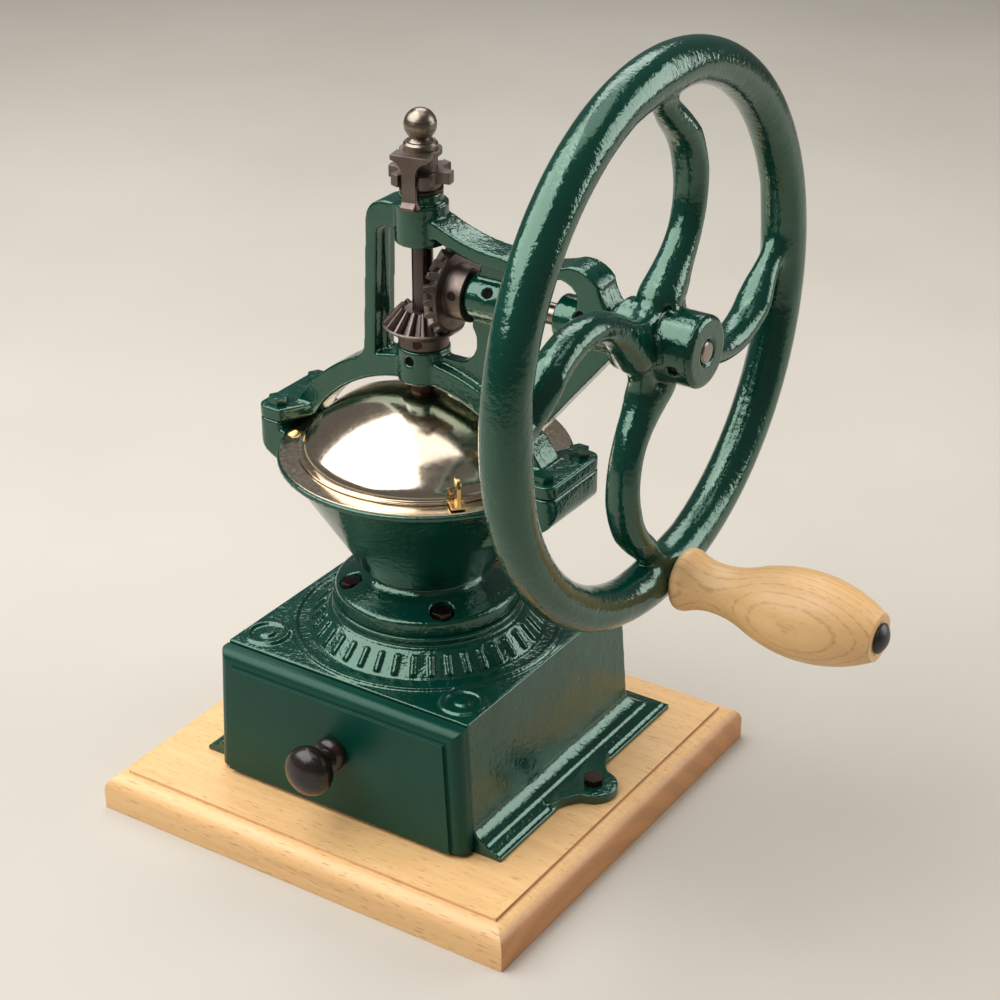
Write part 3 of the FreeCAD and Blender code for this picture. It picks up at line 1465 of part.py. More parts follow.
def bevel_gear(label, teeth, mate, hub_radius, hub_length, phase, turn, level, screw_way, lip=None):
    """Bevel gear about its own +Z axis with the common apex at the origin and teeth facing it.

    A lip closes the tooth spaces at the large end; the mate's teeth stop short of it.
    """
    module = S.gear_module.value
    pitch = module * teeth / 2
    cone = math.atan2(teeth, mate)
    reach = pitch / math.tan(cone)
    far = math.hypot(pitch, reach)
    near = far - S.gear_face.value
    if not lip:
        far -= S.face_gap.value
    tip, root = 0.9 * module, 1.25 * module

    def spot(length, height):
        return (length * math.sin(cone) + height * math.cos(cone),
                length * math.cos(cone) - height * math.sin(cone))

    scale = near / far
    tip_far, tip_near = spot(far, tip), spot(near, tip * scale)
    root_far, root_near = spot(far, -root * 1.5), spot(near, -root * 1.2 * scale)
    bore = S.shaft_radius.value + S.seat_gap.value
    hub = number(hub_radius)
    back = number(hub_length)
    points = [
        (bore, root_near[1]), root_near, tip_near, tip_far, root_far,
        (hub, root_far[1]), (hub, back), (bore, back),
    ]
    corners = [Vector(radius, 0, along) for radius, along in points]
    face = Part.Face(Part.makePolygon(corners + corners[:1]))
    blank = face.revolve(Vector(), Vector(0, 0, 1), 360)
    pairs = tooth_space(teeth, mate)
    cutters = []
    for index in range(teeth):
        middle = phase + 2 * math.pi * index / teeth
        wires = []
        for stretch in (0.45, 1.35):
            side = [(radius * stretch, middle - half) for radius, half in pairs]
            side += [(radius * stretch, middle + half) for radius, half in reversed(pairs)]
            loop = [Vector(r * math.cos(a), r * math.sin(a), reach * stretch) for r, a in side]
            wires.append(Part.makePolygon(loop + loop[:1]))
        cutters.append(Part.makeLoft(wires, True, True))
    middle = (root_far[1] + back) / 2
    drill = Part.makeCylinder(S.set_screw_radius.value + S.seat_gap.value, hub * 2,
                              Vector(0, 0, middle), turn.inverted().multVec(screw_way))
    shape = blank.cut(cutters + [drill])
    if lip:
        band = [tip_far, spot(far + lip.value, tip), spot(far + lip.value, -root * 1.5), root_far]
        edges = [Vector(radius, 0, along) for radius, along in band]
        lip_face = Part.Face(Part.makePolygon(edges + edges[:1]))
        shape = shape.fuse(lip_face.revolve(Vector(), Vector(0, 0, 1), 360))
    gear = doc.addObject("Part::Feature", label)
    gear.Shape = shape.removeSplitter()
    gear.Placement = Placement(Vector(0, 0, level.value), turn)
    gear.setExpression("Placement.Base.z", level.text)
    named(label, gear)
    screw = pin(S.set_screw_radius, hub_radius - S.shaft_radius - S.seat_gap * 10, screw_way)
    seat = turn.multVec(Vector(0, 0, middle)) + screw_way * (S.shaft_radius.value + S.seat_gap.value)
    place(screw, seat.x, seat.y, level + seat.z)
    named(label + "_set_screw", screw)


def gears():
    down = Rotation(Vector(1, 0, 0), 180)
    across = Rotation(Vector(0, 1, 0), 90)
    hub_foot = PITCH_GEAR + S.pinion_hub_length - S.face_gap
    bevel_gear("pinion", PINION_TEETH, GEAR_TEETH, S.pinion_hub_radius, hub_foot, 0.0, down, AXLE,
               PINION_SCREW_WAY, S.pinion_lip)
    hub_end = INNER_START - S.face_gap
    gear_phase = math.pi / GEAR_TEETH
    bevel_gear("drive_gear", GEAR_TEETH, PINION_TEETH, S.gear_hub_radius, hub_end, gear_phase, across, AXLE,
               GEAR_SCREW_WAY)


# Crank shaft, flywheel and handle

HUB_START = OUTER_END + S.face_gap
HUB_END = HUB_START + S.hub_length
WHEEL_PLANE = HUB_START + S.hub_back
SHAFT_START = S.shaft_radius * 2.3


def crank_shaft():
    chamfer = S.shaft_radius * 0.16
    body = turned("crank_shaft", "X", [
        (0, SHAFT_START), (S.shaft_radius, SHAFT_START), (S.shaft_radius, HUB_END - chamfer),
        (S.shaft_radius - chamfer, HUB_END), (0, HUB_END),
    ])
    lift(body, AXLE)
    return body


def flywheel():
    body = new_body("flywheel")
    hub = new_sketch(body, "XZ_Plane")
    bore = S.shaft_radius + S.seat_gap
    edge = S.hub_radius * 0.1
    outline(hub, profile("X", [
        (bore, HUB_START), (S.hub_radius, HUB_START), (S.hub_radius, HUB_END - edge),
        (S.hub_radius - edge, HUB_END), (bore + edge, HUB_END), (bore, HUB_END - edge),
    ]))
    spin(body, hub, "H_Axis")
    rim = new_sketch(body, "XZ_Plane")
    circle(rim, WHEEL_PLANE, S.rim_circle, S.rim_tube)
    spin(body, rim, "H_Axis")
    doc.recompute()
    spoke = curved_spoke(body)
    pattern(body, spoke, "X_Axis", SPOKES)
    spoke_web(body)
    seat = new_sketch(body, "YZ_Plane", HANDLE_SEAT)
    circle(seat, S.handle_offset, HANDLE_DROP, S.handle_washer_radius + S.face_gap)
    pocket(body, seat, S.rim_tube, reverse=True)
    hole = new_sketch(body, "YZ_Plane", HANDLE_SEAT)
    circle(hole, S.handle_offset, HANDLE_DROP, S.handle_bolt_radius + S.seat_gap)
    pocket(body, hole, S.rim_tube * 1.2)
    lift(body, AXLE)
    return cut("flywheel", body, [set_screw_hole()])


HANDLE_SEAT = WHEEL_PLANE + S.rim_tube * 0.86
HANDLE_DROP = -on_circle(S.rim_circle, S.handle_offset)


def curved_spoke(body):
    """One bowed and tapered spoke: a straight run out of the hub, an arc and a straight run into the rim."""
    path = new_sketch(body, "YZ_Plane", WHEEL_PLANE)
    bow = S.spoke_bow
    centre_y, centre_z = -S.spoke_bow_offset, S.spoke_bow_rise
    first, last = math.radians(SPOKE_ARC_START), math.radians(SPOKE_ARC_END)
    start_y, start_z = centre_y + bow * math.cos(first), centre_z + bow * math.sin(first)
    end_y, end_z = centre_y + bow * math.cos(last), centre_z + bow * math.sin(last)
    root_y = start_y + S.spoke_root * math.sin(first)
    root_z = start_z - S.spoke_root * math.cos(first)
    tip_y, tip_z = end_y - S.spoke_tip * math.sin(last), end_z + S.spoke_tip * math.cos(last)
    path.addGeometry([
        Part.LineSegment(spot_of(root_y, root_z), spot_of(start_y, start_z)),
        arc_between(spot_of(start_y, start_z), spot_of(end_y, end_z), bow.value),
        Part.LineSegment(spot_of(end_y, end_z), spot_of(tip_y, tip_z)),
    ], False)
    rule = Sketcher.Constraint
    constraints = [(rule("Coincident", 0, 2, 1, 1), None), (rule("Coincident", 1, 2, 2, 1), None)]
    constraints += at_point(0, 1, root_y, root_z) + at_point(0, 2, start_y, start_z)
    constraints += at_point(1, 2, end_y, end_z) + [(rule("Radius", 1, bow.value), bow)]
    constraints += at_point(2, 2, tip_y, tip_z)
    bind(path, constraints)
    doc.recompute()
    sections = []
    stations = (("Edge1", 0.0, S.spoke_root_radius), ("Edge3", 0.0, S.spoke_waist_radius),
                ("Edge3", 1.0, S.spoke_tip_radius))
    for edge, share, radius in stations:
        section = body.newObject("Sketcher::SketchObject", "Section")
        section.AttachmentSupport = [(path, edge)]
        section.MapMode = "NormalToEdge"
        section.MapPathParameter = share
        circle(section, 0, 0, radius)
        sections.append(section)
    pipe = body.newObject("PartDesign::AdditivePipe", "Spoke")
    pipe.Profile = sections[0]
    pipe.Spine = (path, ["Edge1", "Edge2", "Edge3"])
    pipe.Transformation = "Multisection"
    pipe.Sections = [(section, [""]) for section in sections[1:]]
    return pipe


def spoke_web(body):
    """Flat web round the hub whose four hollow sides run out into neighbouring spokes."""
    sketch = new_sketch(body, "YZ_Plane", WHEEL_PLANE)
    first = math.radians(SPOKE_ARC_START)
    way_y, way_z = -math.sin(first), math.cos(first)
    root_y = S.spoke_bow * math.cos(first) - S.spoke_bow_offset - S.spoke_root * way_y
    root_z = S.spoke_bow * math.sin(first) + S.spoke_bow_rise - S.spoke_root * way_z
    side = S.spoke_root_radius * 0.78
    edge_y, edge_z = root_y + side * way_z, root_z - side * way_y
    next_y, next_z = edge_z + side * way_y * 2, side * way_z * 2 - edge_y
    across_y, across_z = next_y - edge_y, next_z - edge_z
    reach = across_y * way_y + across_z * way_z + S.spoke_web_radius
    near_y, near_z = edge_y + reach * way_y, edge_z + reach * way_z
    far_y = near_y + S.spoke_web_radius * (way_z - way_y)
    far_z = near_z - S.spoke_web_radius * (way_y + way_z)
    corners = []
    for y_y, y_z in ((1, 0), (0, 1), (-1, 0), (0, -1)):
        corners += [
            (near_y * y_y + near_z * y_z, near_z * y_y - near_y * y_z),
            (far_y * y_y + far_z * y_z, far_z * y_y - far_y * y_z, S.spoke_web_radius),
        ]
    outline(sketch, corners)
    circle(sketch, 0, 0, S.hub_radius - S.shaft_radius)
    pad(body, sketch, S.spoke_web_thick, symmetric=True)


def spot_of(x, y):
    return Vector(number(x), number(y), 0)


def set_screw_hole():
    drill = pin(S.set_screw_radius + S.seat_gap, S.hub_radius * 2, hub_screw_way())
    place(drill, HUB_END - S.hub_radius * 0.55, z=AXLE)
    return drill


def hub_screw_way():
    turn = math.radians(HUB_SCREW_ANGLE)
    return Vector(0, math.cos(turn), math.sin(turn))


def set_screws():
    way = hub_screw_way()
    hub = pin(S.set_screw_radius, S.hub_radius - S.shaft_radius - S.set_screw_radius, way)
    start = S.shaft_radius + S.seat_gap
    place(hub, HUB_END - S.hub_radius * 0.55, start * way.y, AXLE + start * way.z)
    named("hub_set_screw", hub)


def crest_arc(crest, other):
    """Radius of the arc through another point whose tangent at the crest runs along the axis."""
    fall, run = crest[0] - other[0], crest[1] - other[1]
    return (fall * fall + run * run) / (fall * 2)


def ogee(start, end, share, sign):
    """Two arcs that meet smoothly, with tangents along the axis at both ends."""
    rise, run = end[0] - start[0], end[1] - start[1]
    both = (rise * rise + run * run) / (rise * 2 * -sign)
    middle = (start[0] + rise * share, start[1] + run * share)
    return [middle + (both * (sign * share),), end + (both * (-sign * (1 - share)),)]


def handle():
    long = S.handle_length
    start = HANDLE_SEAT + S.handle_washer_thick + S.face_gap
    bore = S.handle_bolt_radius + S.running_gap
    face = (S.handle_face_radius, long * 0)
    bead = (S.handle_bead_radius, long * HANDLE_BEAD)
    neck = (S.handle_neck_radius, long * HANDLE_NECK)
    belly = (S.handle_belly_radius, long * HANDLE_BELLY)
    end = (S.handle_end_radius, long * HANDLE_END)
    grip = turned("handle_grip", "X", [
        (bore, 0), face, bead + (crest_arc(bead, face),),
        *ogee(bead, neck, HANDLE_BEAD_SHARE, 1), *ogee(neck, belly, HANDLE_NECK_SHARE, -1),
        end + (crest_arc(belly, end),), (S.handle_end_radius - S.handle_end_edge, long), (bore, long),
    ])
    place(grip, start, S.handle_offset, AXLE + HANDLE_DROP)
    washer = ring("handle_washer", "X", S.handle_bolt_radius + S.seat_gap, S.handle_washer_radius, 0,
                  S.handle_washer_thick)
    place(washer, HANDLE_SEAT, S.handle_offset, AXLE + HANDLE_DROP)
    bolt_start = -S.rim_tube * 1.1
    head = S.handle_washer_thick + S.face_gap * 2 + long
    bolt = turned("handle_bolt", "X", [
        (0, bolt_start), (S.handle_bolt_radius, bolt_start), (S.handle_bolt_radius, head),
        (S.handle_cap_radius, head), (S.handle_cap_radius, head + S.handle_cap_edge),
        (0, head + S.handle_cap_edge + S.handle_cap_rise,
         cap_radius(S.handle_cap_radius, S.handle_cap_rise)),
    ])
    place(bolt, HANDLE_SEAT, S.handle_offset, AXLE + HANDLE_DROP)


base_board()
base_box()
board_screws()
drawer_front()
drawer_tray()
drawer_knob()
knob_screw()
drawer_screws()
hopper()
hopper_bolts()
outer_burr()
inner_burr()
burr_nut()
lid_rear()
lid_door()
lid_tab()
lid_rivets()
yoke()
yoke_bolts()
bushes()
spindle()
thrust_washer()
star_nut()
latch_strap()
ball_finial()
gears()
crank_shaft()
flywheel()
set_screws()
handle()
doc.recompute()

faults = [item.Label for item in doc.Objects if "Invalid" in item.State or "Error" in item.State]
faults += [node.Label for node in NODES if node.Shape.isNull() or not node.Shape.isValid()]
if faults:
    raise RuntimeError("failed: " + ", ".join(faults))

os.makedirs("parts", exist_ok=True)
for node in NODES:
    node.Shape.exportStep(f"parts/{node.Label}.step")
print(len(NODES), "nodes written")
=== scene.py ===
import json
import math

import bmesh
import bpy
from mathutils import Matrix, Vector

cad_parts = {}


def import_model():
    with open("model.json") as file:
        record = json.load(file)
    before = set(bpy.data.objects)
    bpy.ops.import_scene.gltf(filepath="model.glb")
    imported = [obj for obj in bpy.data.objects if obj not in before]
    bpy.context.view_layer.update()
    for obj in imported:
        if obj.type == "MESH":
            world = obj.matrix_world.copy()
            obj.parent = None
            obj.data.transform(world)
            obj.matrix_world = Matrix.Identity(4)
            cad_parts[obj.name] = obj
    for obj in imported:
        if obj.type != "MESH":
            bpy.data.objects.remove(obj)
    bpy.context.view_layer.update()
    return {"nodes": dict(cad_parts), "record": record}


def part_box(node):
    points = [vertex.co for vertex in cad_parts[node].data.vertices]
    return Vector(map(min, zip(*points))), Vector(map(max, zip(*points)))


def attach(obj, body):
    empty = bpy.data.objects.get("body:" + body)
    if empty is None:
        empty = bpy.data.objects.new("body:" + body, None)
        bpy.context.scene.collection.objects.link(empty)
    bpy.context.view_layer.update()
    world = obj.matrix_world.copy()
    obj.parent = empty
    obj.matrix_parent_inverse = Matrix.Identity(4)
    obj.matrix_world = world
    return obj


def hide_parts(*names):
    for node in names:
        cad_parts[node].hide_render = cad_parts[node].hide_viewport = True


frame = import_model()

scene = bpy.context.scene
nodes = frame["nodes"]
slots = {part["node"]: part["material_slot"] for part in frame["record"]["subparts"]}


# Shader helpers

TONE_START = 0.3
TONE_END = 0.7
FACING_START = 0.5
FACING_END = 0.9
TICK_START = 0.1
TICK_END = 0.7
BEVEL_SAMPLES = 6
MIX_FIRST = 6
MIX_SECOND = 7
MIX_RESULT = 2


class Shader:
    """A node material with its shader, object coordinates and normals at hand."""

    def __init__(self, name, colour, roughness, metallic=0.0):
        self.material = bpy.data.materials.new(name)
        self.material.use_nodes = True
        self.tree = self.material.node_tree
        self.bsdf = self.tree.nodes["Principled BSDF"]
        self.set("Metallic", metallic)
        self.set("Base Color", (*colour, 1.0))
        self.set("Roughness", roughness)
        places = self.add("ShaderNodeTexCoord").outputs
        self.coords = places["Object"]
        self.normals = places["Normal"]

    def set(self, name, value):
        self.bsdf.inputs[name].default_value = value

    def colour(self, source):
        self.link(source, self.bsdf.inputs["Base Color"])

    def roughness(self, source):
        self.link(source, self.bsdf.inputs["Roughness"])

    def add(self, kind, settings=None):
        """A new node with some of its inputs set."""
        node = self.tree.nodes.new(kind)
        for name, value in (settings or {}).items():
            node.inputs[name].default_value = value
        return node

    def link(self, source, target):
        self.tree.links.new(source, target)

    def mapped(self, settings):
        """Object coordinates moved, turned or scaled."""
        node = self.add("ShaderNodeMapping", settings)
        self.link(self.coords, node.inputs["Vector"])
        return node.outputs["Vector"]

    def stretched(self, scale, turn=(0.0, 0.0, 0.0)):
        """Coordinates scaled along each axis, for grain and brushing."""
        return self.mapped({"Scale": scale, "Rotation": turn})

    def moved(self, offset):
        """Coordinates measured from another point."""
        return self.mapped({"Location": offset})

    def parts(self, vector):
        """The X, Y and Z of a vector."""
        node = self.add("ShaderNodeSeparateXYZ")
        self.link(vector, node.inputs["Vector"])
        return node.outputs

    def math(self, operation, *values):
        """A sum done on numbers and on other nodes' values."""
        node = self.add("ShaderNodeMath")
        node.operation = operation
        for socket, value in zip(node.inputs, values):
            if isinstance(value, float):
                socket.default_value = value
            else:
                self.link(value, socket)
        return node.outputs["Value"]

    def sum(self, first, second, share):
        """One value and a share of another."""
        return self.math("MULTIPLY_ADD", second, share, first)

    def product(self, first, second):
        return self.math("MULTIPLY", first, second)

    def spread(self, value, low, high, start=TONE_START, end=TONE_END):
        """A value remapped from one span to another, clamped."""
        spans = {"From Min": start, "From Max": end, "To Min": low, "To Max": high}
        node = self.add("ShaderNodeMapRange", spans)
        self.link(value, node.inputs["Value"])
        return node.outputs["Result"]

    def facing(self, axis):
        """One on faces square to an axis, nought on those along it."""
        size = self.math("ABSOLUTE", self.parts(self.normals)[axis])
        return self.spread(size, 0.0, 1.0, FACING_START, FACING_END)

    def ticks(self, count, low, high):
        """Upright ticks round the Z axis between two levels, one on the grooves that take painted shade.
        """
        x, y, z = self.parts(self.coords)
        angle = self.math("ARCTAN2", y, x)
        wave = self.math("SINE", self.math("MULTIPLY", angle, float(count)))
        lines = self.spread(wave, 0.0, 1.0, TICK_START, TICK_END)
        inside = self.product(self.math("GREATER_THAN", z, low), self.math("LESS_THAN", z, high))
        return self.product(lines, inside)

    def noise(self, scale, detail, rough=0.55, vector=None, warp=0.0):
        settings = {"Scale": scale, "Detail": detail, "Roughness": rough, "Distortion": warp}
        node = self.add("ShaderNodeTexNoise", settings)
        self.link(vector or self.coords, node.inputs["Vector"])
        return node.outputs["Fac"]

    def rings(self, scale, warp, detail, vector):
        """Growth rings about a line along X."""
        node = self.add("ShaderNodeTexWave", {"Scale": scale, "Distortion": warp, "Detail": detail})
        node.wave_type = "RINGS"
        node.rings_direction = "X"
        self.link(vector, node.inputs["Vector"])
        return node.outputs["Fac"]

    def tones(self, value, dark, light):
        """Two colours with a soft change between them over the middle of a value."""
        node = self.add("ShaderNodeValToRGB")
        stops = ((TONE_START, dark), (TONE_END, light))
        for element, (place, colour) in zip(node.color_ramp.elements, stops):
            element.position = place
            element.color = (*colour, 1.0)
        self.link(value, node.inputs["Fac"])
        return node.outputs["Color"]

    def blend(self, value, first, second):
        """One colour that gives way to another as a value rises."""
        node = self.add("ShaderNodeMix")
        node.data_type = "RGBA"
        self.link(value, node.inputs["Factor"])
        for place, colour in ((MIX_FIRST, first), (MIX_SECOND, second)):
            if isinstance(colour, tuple):
                node.inputs[place].default_value = (*colour, 1.0)
            else:
                self.link(colour, node.inputs[place])
        return node.outputs[MIX_RESULT]

    def bump(self, height, depth, strength=1.0, edge=0.0):
        """Fine relief, with sharp edges shaded round where an edge radius is given."""
        node = self.add("ShaderNodeBump", {"Strength": strength, "Distance": depth})
        self.link(height, node.inputs["Height"])
        if edge:
            bevel = self.add("ShaderNodeBevel", {"Radius": edge})
            bevel.samples = BEVEL_SAMPLES
            self.link(bevel.outputs["Normal"], node.inputs["Normal"])
        self.link(node.outputs["Normal"], self.bsdf.inputs["Normal"])


# Materials, one for each slot of the record and one for the painted shade in the oil holes

PAINT_TINT = (0.66, 1.0, 0.78, 1.0)


def green_enamel():
    """Thick gloss enamel flowed over a sand casting: soft runs, ragged orange peel, fine grit."""
    shader = Shader("green_enamel", (0.0015, 0.055, 0.037), 0.1)
    tone = shader.noise(scale=24.0, detail=2.0)
    flow = shader.noise(scale=50.0, detail=1.0, rough=0.4)
    peel = shader.noise(scale=380.0, detail=2.0, rough=0.5, warp=0.5)
    grit = shader.noise(scale=1300.0, detail=1.0)
    shader.colour(shader.tones(tone, dark=(0.0005, 0.028, 0.018), light=(0.0010, 0.039, 0.026)))
    shader.roughness(shader.spread(peel, 0.07, 0.16, start=0.35))
    relief = shader.sum(shader.sum(flow, peel, share=0.30), grit, share=0.06)
    shader.bump(relief, depth=0.0008)
    shader.set("Specular IOR Level", 1.0)
    shader.set("Specular Tint", PAINT_TINT)
    return shader.material


def green_satin():
    """Smooth satin paint with a faint spray texture."""
    shader = Shader("green_satin", (0.002, 0.050, 0.037), 0.34)
    spray = shader.noise(scale=900.0, detail=2.0)
    tone = shader.noise(scale=18.0, detail=2.0)
    shader.colour(shader.tones(tone, dark=(0.0010, 0.037, 0.025), light=(0.0016, 0.045, 0.031)))
    shader.roughness(shader.spread(spray, 0.29, 0.38))
    shader.bump(spray, depth=0.0001, strength=0.5, edge=0.0007)
    shader.set("Specular IOR Level", 0.35)
    shader.set("Specular Tint", PAINT_TINT)
    return shader.material


PALE_BEECH = (0.82, 0.52, 0.235)
WARM_BEECH = (0.70, 0.395, 0.165)
RING_LINE = (0.62, 0.31, 0.11)
FLECK = (0.40, 0.19, 0.07)
END_GRAIN = (0.52, 0.235, 0.080)
END_RING = tuple(part * 0.75 for part in END_GRAIN)
BOARD_PITH = (0.0, 0.05, 0.11)
HANDLE_PITH = (0.0, 0.105, -0.165)


def beech_board():
    """Oiled beech with its grain along X: faint streaks, short dark flecks, deeper end grain."""
    shader = Shader("beech", PALE_BEECH, 0.42)
    grain = shader.stretched((1.0, 14.0, 14.0))
    slant = shader.stretched((1.0, 8.0, 8.0), turn=(0.0, 0.0, 0.06))
    streaks = shader.noise(scale=14.0, detail=3.0, rough=0.6, vector=grain)
    cloud = shader.noise(scale=16.0, detail=2.0)
    flecks = shader.noise(scale=130.0, detail=1.0, rough=0.5, vector=slant)
    long_grain = shader.blend(shader.spread(streaks, 0.0, 0.75), PALE_BEECH, WARM_BEECH)
    marks = shader.spread(flecks, 0.0, 0.65, start=0.62, end=0.72)
    flecked = shader.blend(marks, long_grain, FLECK)
    rings = shader.rings(scale=22.0, warp=1.5, detail=1.0, vector=shader.moved(BOARD_PITH))
    ends = shader.blend(shader.spread(rings, 0.0, 0.5), END_GRAIN, END_RING)
    shader.colour(shader.blend(shader.facing("X"), flecked, ends))
    shader.roughness(shader.spread(cloud, 0.36, 0.50))
    relief = shader.sum(streaks, flecks, share=-0.5)
    shader.bump(relief, depth=0.0002, strength=0.5, edge=0.0008)
    return shader.material


def beech_handle():
    """Turned beech: growth rings about a pith beside the handle show as ovals on the belly."""
    shader = Shader("beech_handle", PALE_BEECH, 0.36)
    grain = shader.stretched((1.0, 12.0, 12.0))
    streaks = shader.noise(scale=20.0, detail=3.0, rough=0.6, vector=grain)
    rings = shader.rings(scale=95.0, warp=1.2, detail=2.0, vector=shader.moved(HANDLE_PITH))
    breaks = shader.noise(scale=260.0, detail=1.0, rough=0.5, vector=shader.stretched((1.0, 2.0, 2.0)))
    flecks = shader.noise(scale=150.0, detail=1.0, rough=0.5, vector=shader.stretched((1.0, 9.0, 9.0)))
    base = shader.blend(shader.spread(streaks, 0.0, 0.5), PALE_BEECH, WARM_BEECH)
    whole_lines = shader.spread(rings, 0.0, 0.7, start=0.80, end=0.98)
    lines = shader.product(whole_lines, shader.spread(breaks, 0.1, 1.0, start=0.35, end=0.6))
    ringed = shader.blend(lines, base, RING_LINE)
    marks = shader.spread(flecks, 0.0, 0.4, start=0.66, end=0.76)
    shader.colour(shader.blend(marks, ringed, FLECK))
    shader.roughness(shader.spread(streaks, 0.32, 0.42))
    relief = shader.sum(streaks, flecks, share=-0.5)
    shader.bump(relief, depth=0.00015, strength=0.5, edge=0.0008)
    return shader.material


def steel(name, dark, light, rough):
    """Bare, browned or phosphated metal with an uneven tone."""
    shader = Shader(name, light, rough, 1.0)
    tone = shader.noise(scale=55.0, detail=4.0)
    grain = shader.noise(scale=1100.0, detail=3.0)
    shader.colour(shader.tones(tone, dark, light))
    shader.roughness(shader.spread(grain, rough * 0.8, rough * 1.25))
    shader.bump(shader.sum(tone, grain, share=0.5), depth=0.0003, strength=0.35, edge=0.0006)
    return shader.material


def turned_metal(name, dark, light, rough, stretch):
    """Metal with fine turning marks about an axis."""
    shader = Shader(name, light, rough, 1.0)
    marks = shader.noise(scale=160.0, detail=3.0, rough=0.6, vector=shader.stretched(stretch))
    tone = shader.noise(scale=45.0, detail=3.0)
    shader.colour(shader.tones(tone, dark, light))
    shader.roughness(shader.spread(marks, rough * 0.75, rough * 1.3))
    shader.bump(marks, depth=0.00025, strength=0.3, edge=0.0006)
    return shader.material


KNURL_LOW = 0.3372
KNURL_HIGH = 0.3410
KNURL_TICKS = 54
# Colour of the painted shade in the knurling's grooves
KNURL_GROOVE_SHADE = (0.05, 0.04, 0.032)


def knurled_steel():
    """Warm turned steel with a band of straight knurling below the ball's middle, its grooves darkened
    with painted shade.
    """
    shader = Shader("finial_steel", (0.25, 0.20, 0.16), 0.3, 1.0)
    tone = shader.noise(scale=45.0, detail=3.0)
    turning = shader.stretched((0.1, 0.1, 3.0))
    marks = shader.noise(scale=160.0, detail=3.0, rough=0.6, vector=turning)
    ticks = shader.ticks(KNURL_TICKS, KNURL_LOW, KNURL_HIGH)
    plain = shader.tones(tone, dark=(0.18, 0.145, 0.115), light=(0.30, 0.25, 0.20))
    lines = shader.spread(ticks, 0.0, 0.75, start=0.0, end=1.0)
    shader.colour(shader.blend(lines, plain, KNURL_GROOVE_SHADE))
    shader.roughness(shader.spread(marks, 0.22, 0.40))
    relief = shader.sum(marks, ticks, share=-1.5)
    shader.bump(relief, depth=0.00025, strength=0.4, edge=0.0004)
    return shader.material


def nickel():
    """Polished plate on a spun pressing, with faint ripples and a warm tint."""
    shader = Shader("nickel", (0.72, 0.60, 0.46), 0.06, 1.0)
    ripple = shader.noise(scale=30.0, detail=1.0)
    haze = shader.noise(scale=500.0, detail=3.0)
    shader.colour(shader.tones(ripple, dark=(0.68, 0.56, 0.42), light=(0.76, 0.64, 0.50)))
    shader.roughness(shader.spread(haze, 0.11, 0.19))
    shader.bump(ripple, depth=0.0006, strength=0.3, edge=0.0005)
    return shader.material


def lacquer(name, dark, light, rough):
    """Dark lacquered or moulded surface with a soft uneven sheen."""
    shader = Shader(name, light, rough)
    tone = shader.noise(scale=60.0, detail=3.0)
    skin = shader.noise(scale=600.0, detail=2.0)
    shader.colour(shader.tones(tone, dark, light))
    shader.roughness(shader.spread(skin, rough * 0.8, rough * 1.3))
    shader.bump(skin, depth=0.0003, strength=0.2, edge=0.0006)
    return shader.material


def oil_hole_painted_shade():
    """Matt black painted shade for the dark depth of an oil hole."""
    shader = Shader("oil_hole_painted_shade", (0.006, 0.006, 0.005), 0.9)
    grain = shader.noise(scale=500.0, detail=3.0)
    shader.colour(shader.tones(grain, dark=(0.003, 0.003, 0.003), light=(0.009, 0.009, 0.008)))
    shader.roughness(shader.spread(grain, 0.85, 0.95))
    shader.set("Specular IOR Level", 0.06)
    return shader.material


def burr_iron():
    """Hard grey iron, bare from the mould."""
    shader = Shader("burr_iron", (0.12, 0.11, 0.10), 0.5, 1.0)
    grain = shader.noise(scale=500.0, detail=4.0)
    shader.colour(shader.tones(grain, dark=(0.07, 0.065, 0.06), light=(0.15, 0.14, 0.13)))
    shader.roughness(shader.spread(grain, 0.4, 0.65))
    shader.bump(grain, depth=0.0004, strength=0.5, edge=0.0004)
    return shader.material


SPINDLE_MARKS = (1.0, 1.0, 0.02)
SHAFT_MARKS = (3.0, 0.1, 0.1)

FINISH = {
    "green_enamel": green_enamel(),
    "green_satin": green_satin(),
    "beech": beech_board(),
    "beech_handle": beech_handle(),
    "dark_steel": steel("dark_steel", (0.036, 0.022, 0.018), (0.088, 0.056, 0.045), 0.38),
    "gun_metal": steel("gun_metal", (0.115, 0.088, 0.075), (0.215, 0.170, 0.148), 0.42),
    "spindle_steel": turned_metal(
        "spindle_steel", (0.05, 0.04, 0.037), (0.10, 0.083, 0.076), 0.22, SPINDLE_MARKS),
    "finial_steel": knurled_steel(),
    "bright_steel": turned_metal(
        "bright_steel", (0.20, 0.165, 0.14), (0.36, 0.31, 0.27), 0.26, SHAFT_MARKS),
    "nickel": nickel(),
    "brass": steel("brass", (0.62, 0.40, 0.15), (0.80, 0.56, 0.24), 0.2),
    "bronze": steel("bronze", (0.36, 0.21, 0.09), (0.50, 0.32, 0.15), 0.35),
    "burr_iron": burr_iron(),
    "black_knob": lacquer("black_knob", (0.008, 0.005, 0.004), (0.020, 0.012, 0.009), 0.24),
    "black_cap": lacquer("black_cap", (0.006, 0.006, 0.006), (0.018, 0.016, 0.015), 0.34),
}

for name, piece in nodes.items():
    piece.data.materials.clear()
    piece.data.materials.append(FINISH[slots[name]])


# Mesh helpers

def finished(name, mesh, material):
    """A smooth shaded piece in one material, from a mesh that is complete."""
    bmesh.ops.recalc_face_normals(mesh, faces=mesh.faces)
    shape = bpy.data.meshes.new(name)
    mesh.to_mesh(shape)
    mesh.free()
    shape.materials.append(material)
    shape.shade_smooth()
    piece = bpy.data.objects.new(name, shape)
    scene.collection.objects.link(piece)
    return piece


def along(stops, value):
    """Height of a line drawn through stops, held level beyond its ends."""
    for (low, first), (high, last) in zip(stops, stops[1:]):
        if value < high:
            return first + (last - first) * max(0.0, (value - low) / (high - low))
    return stops[-1][1]


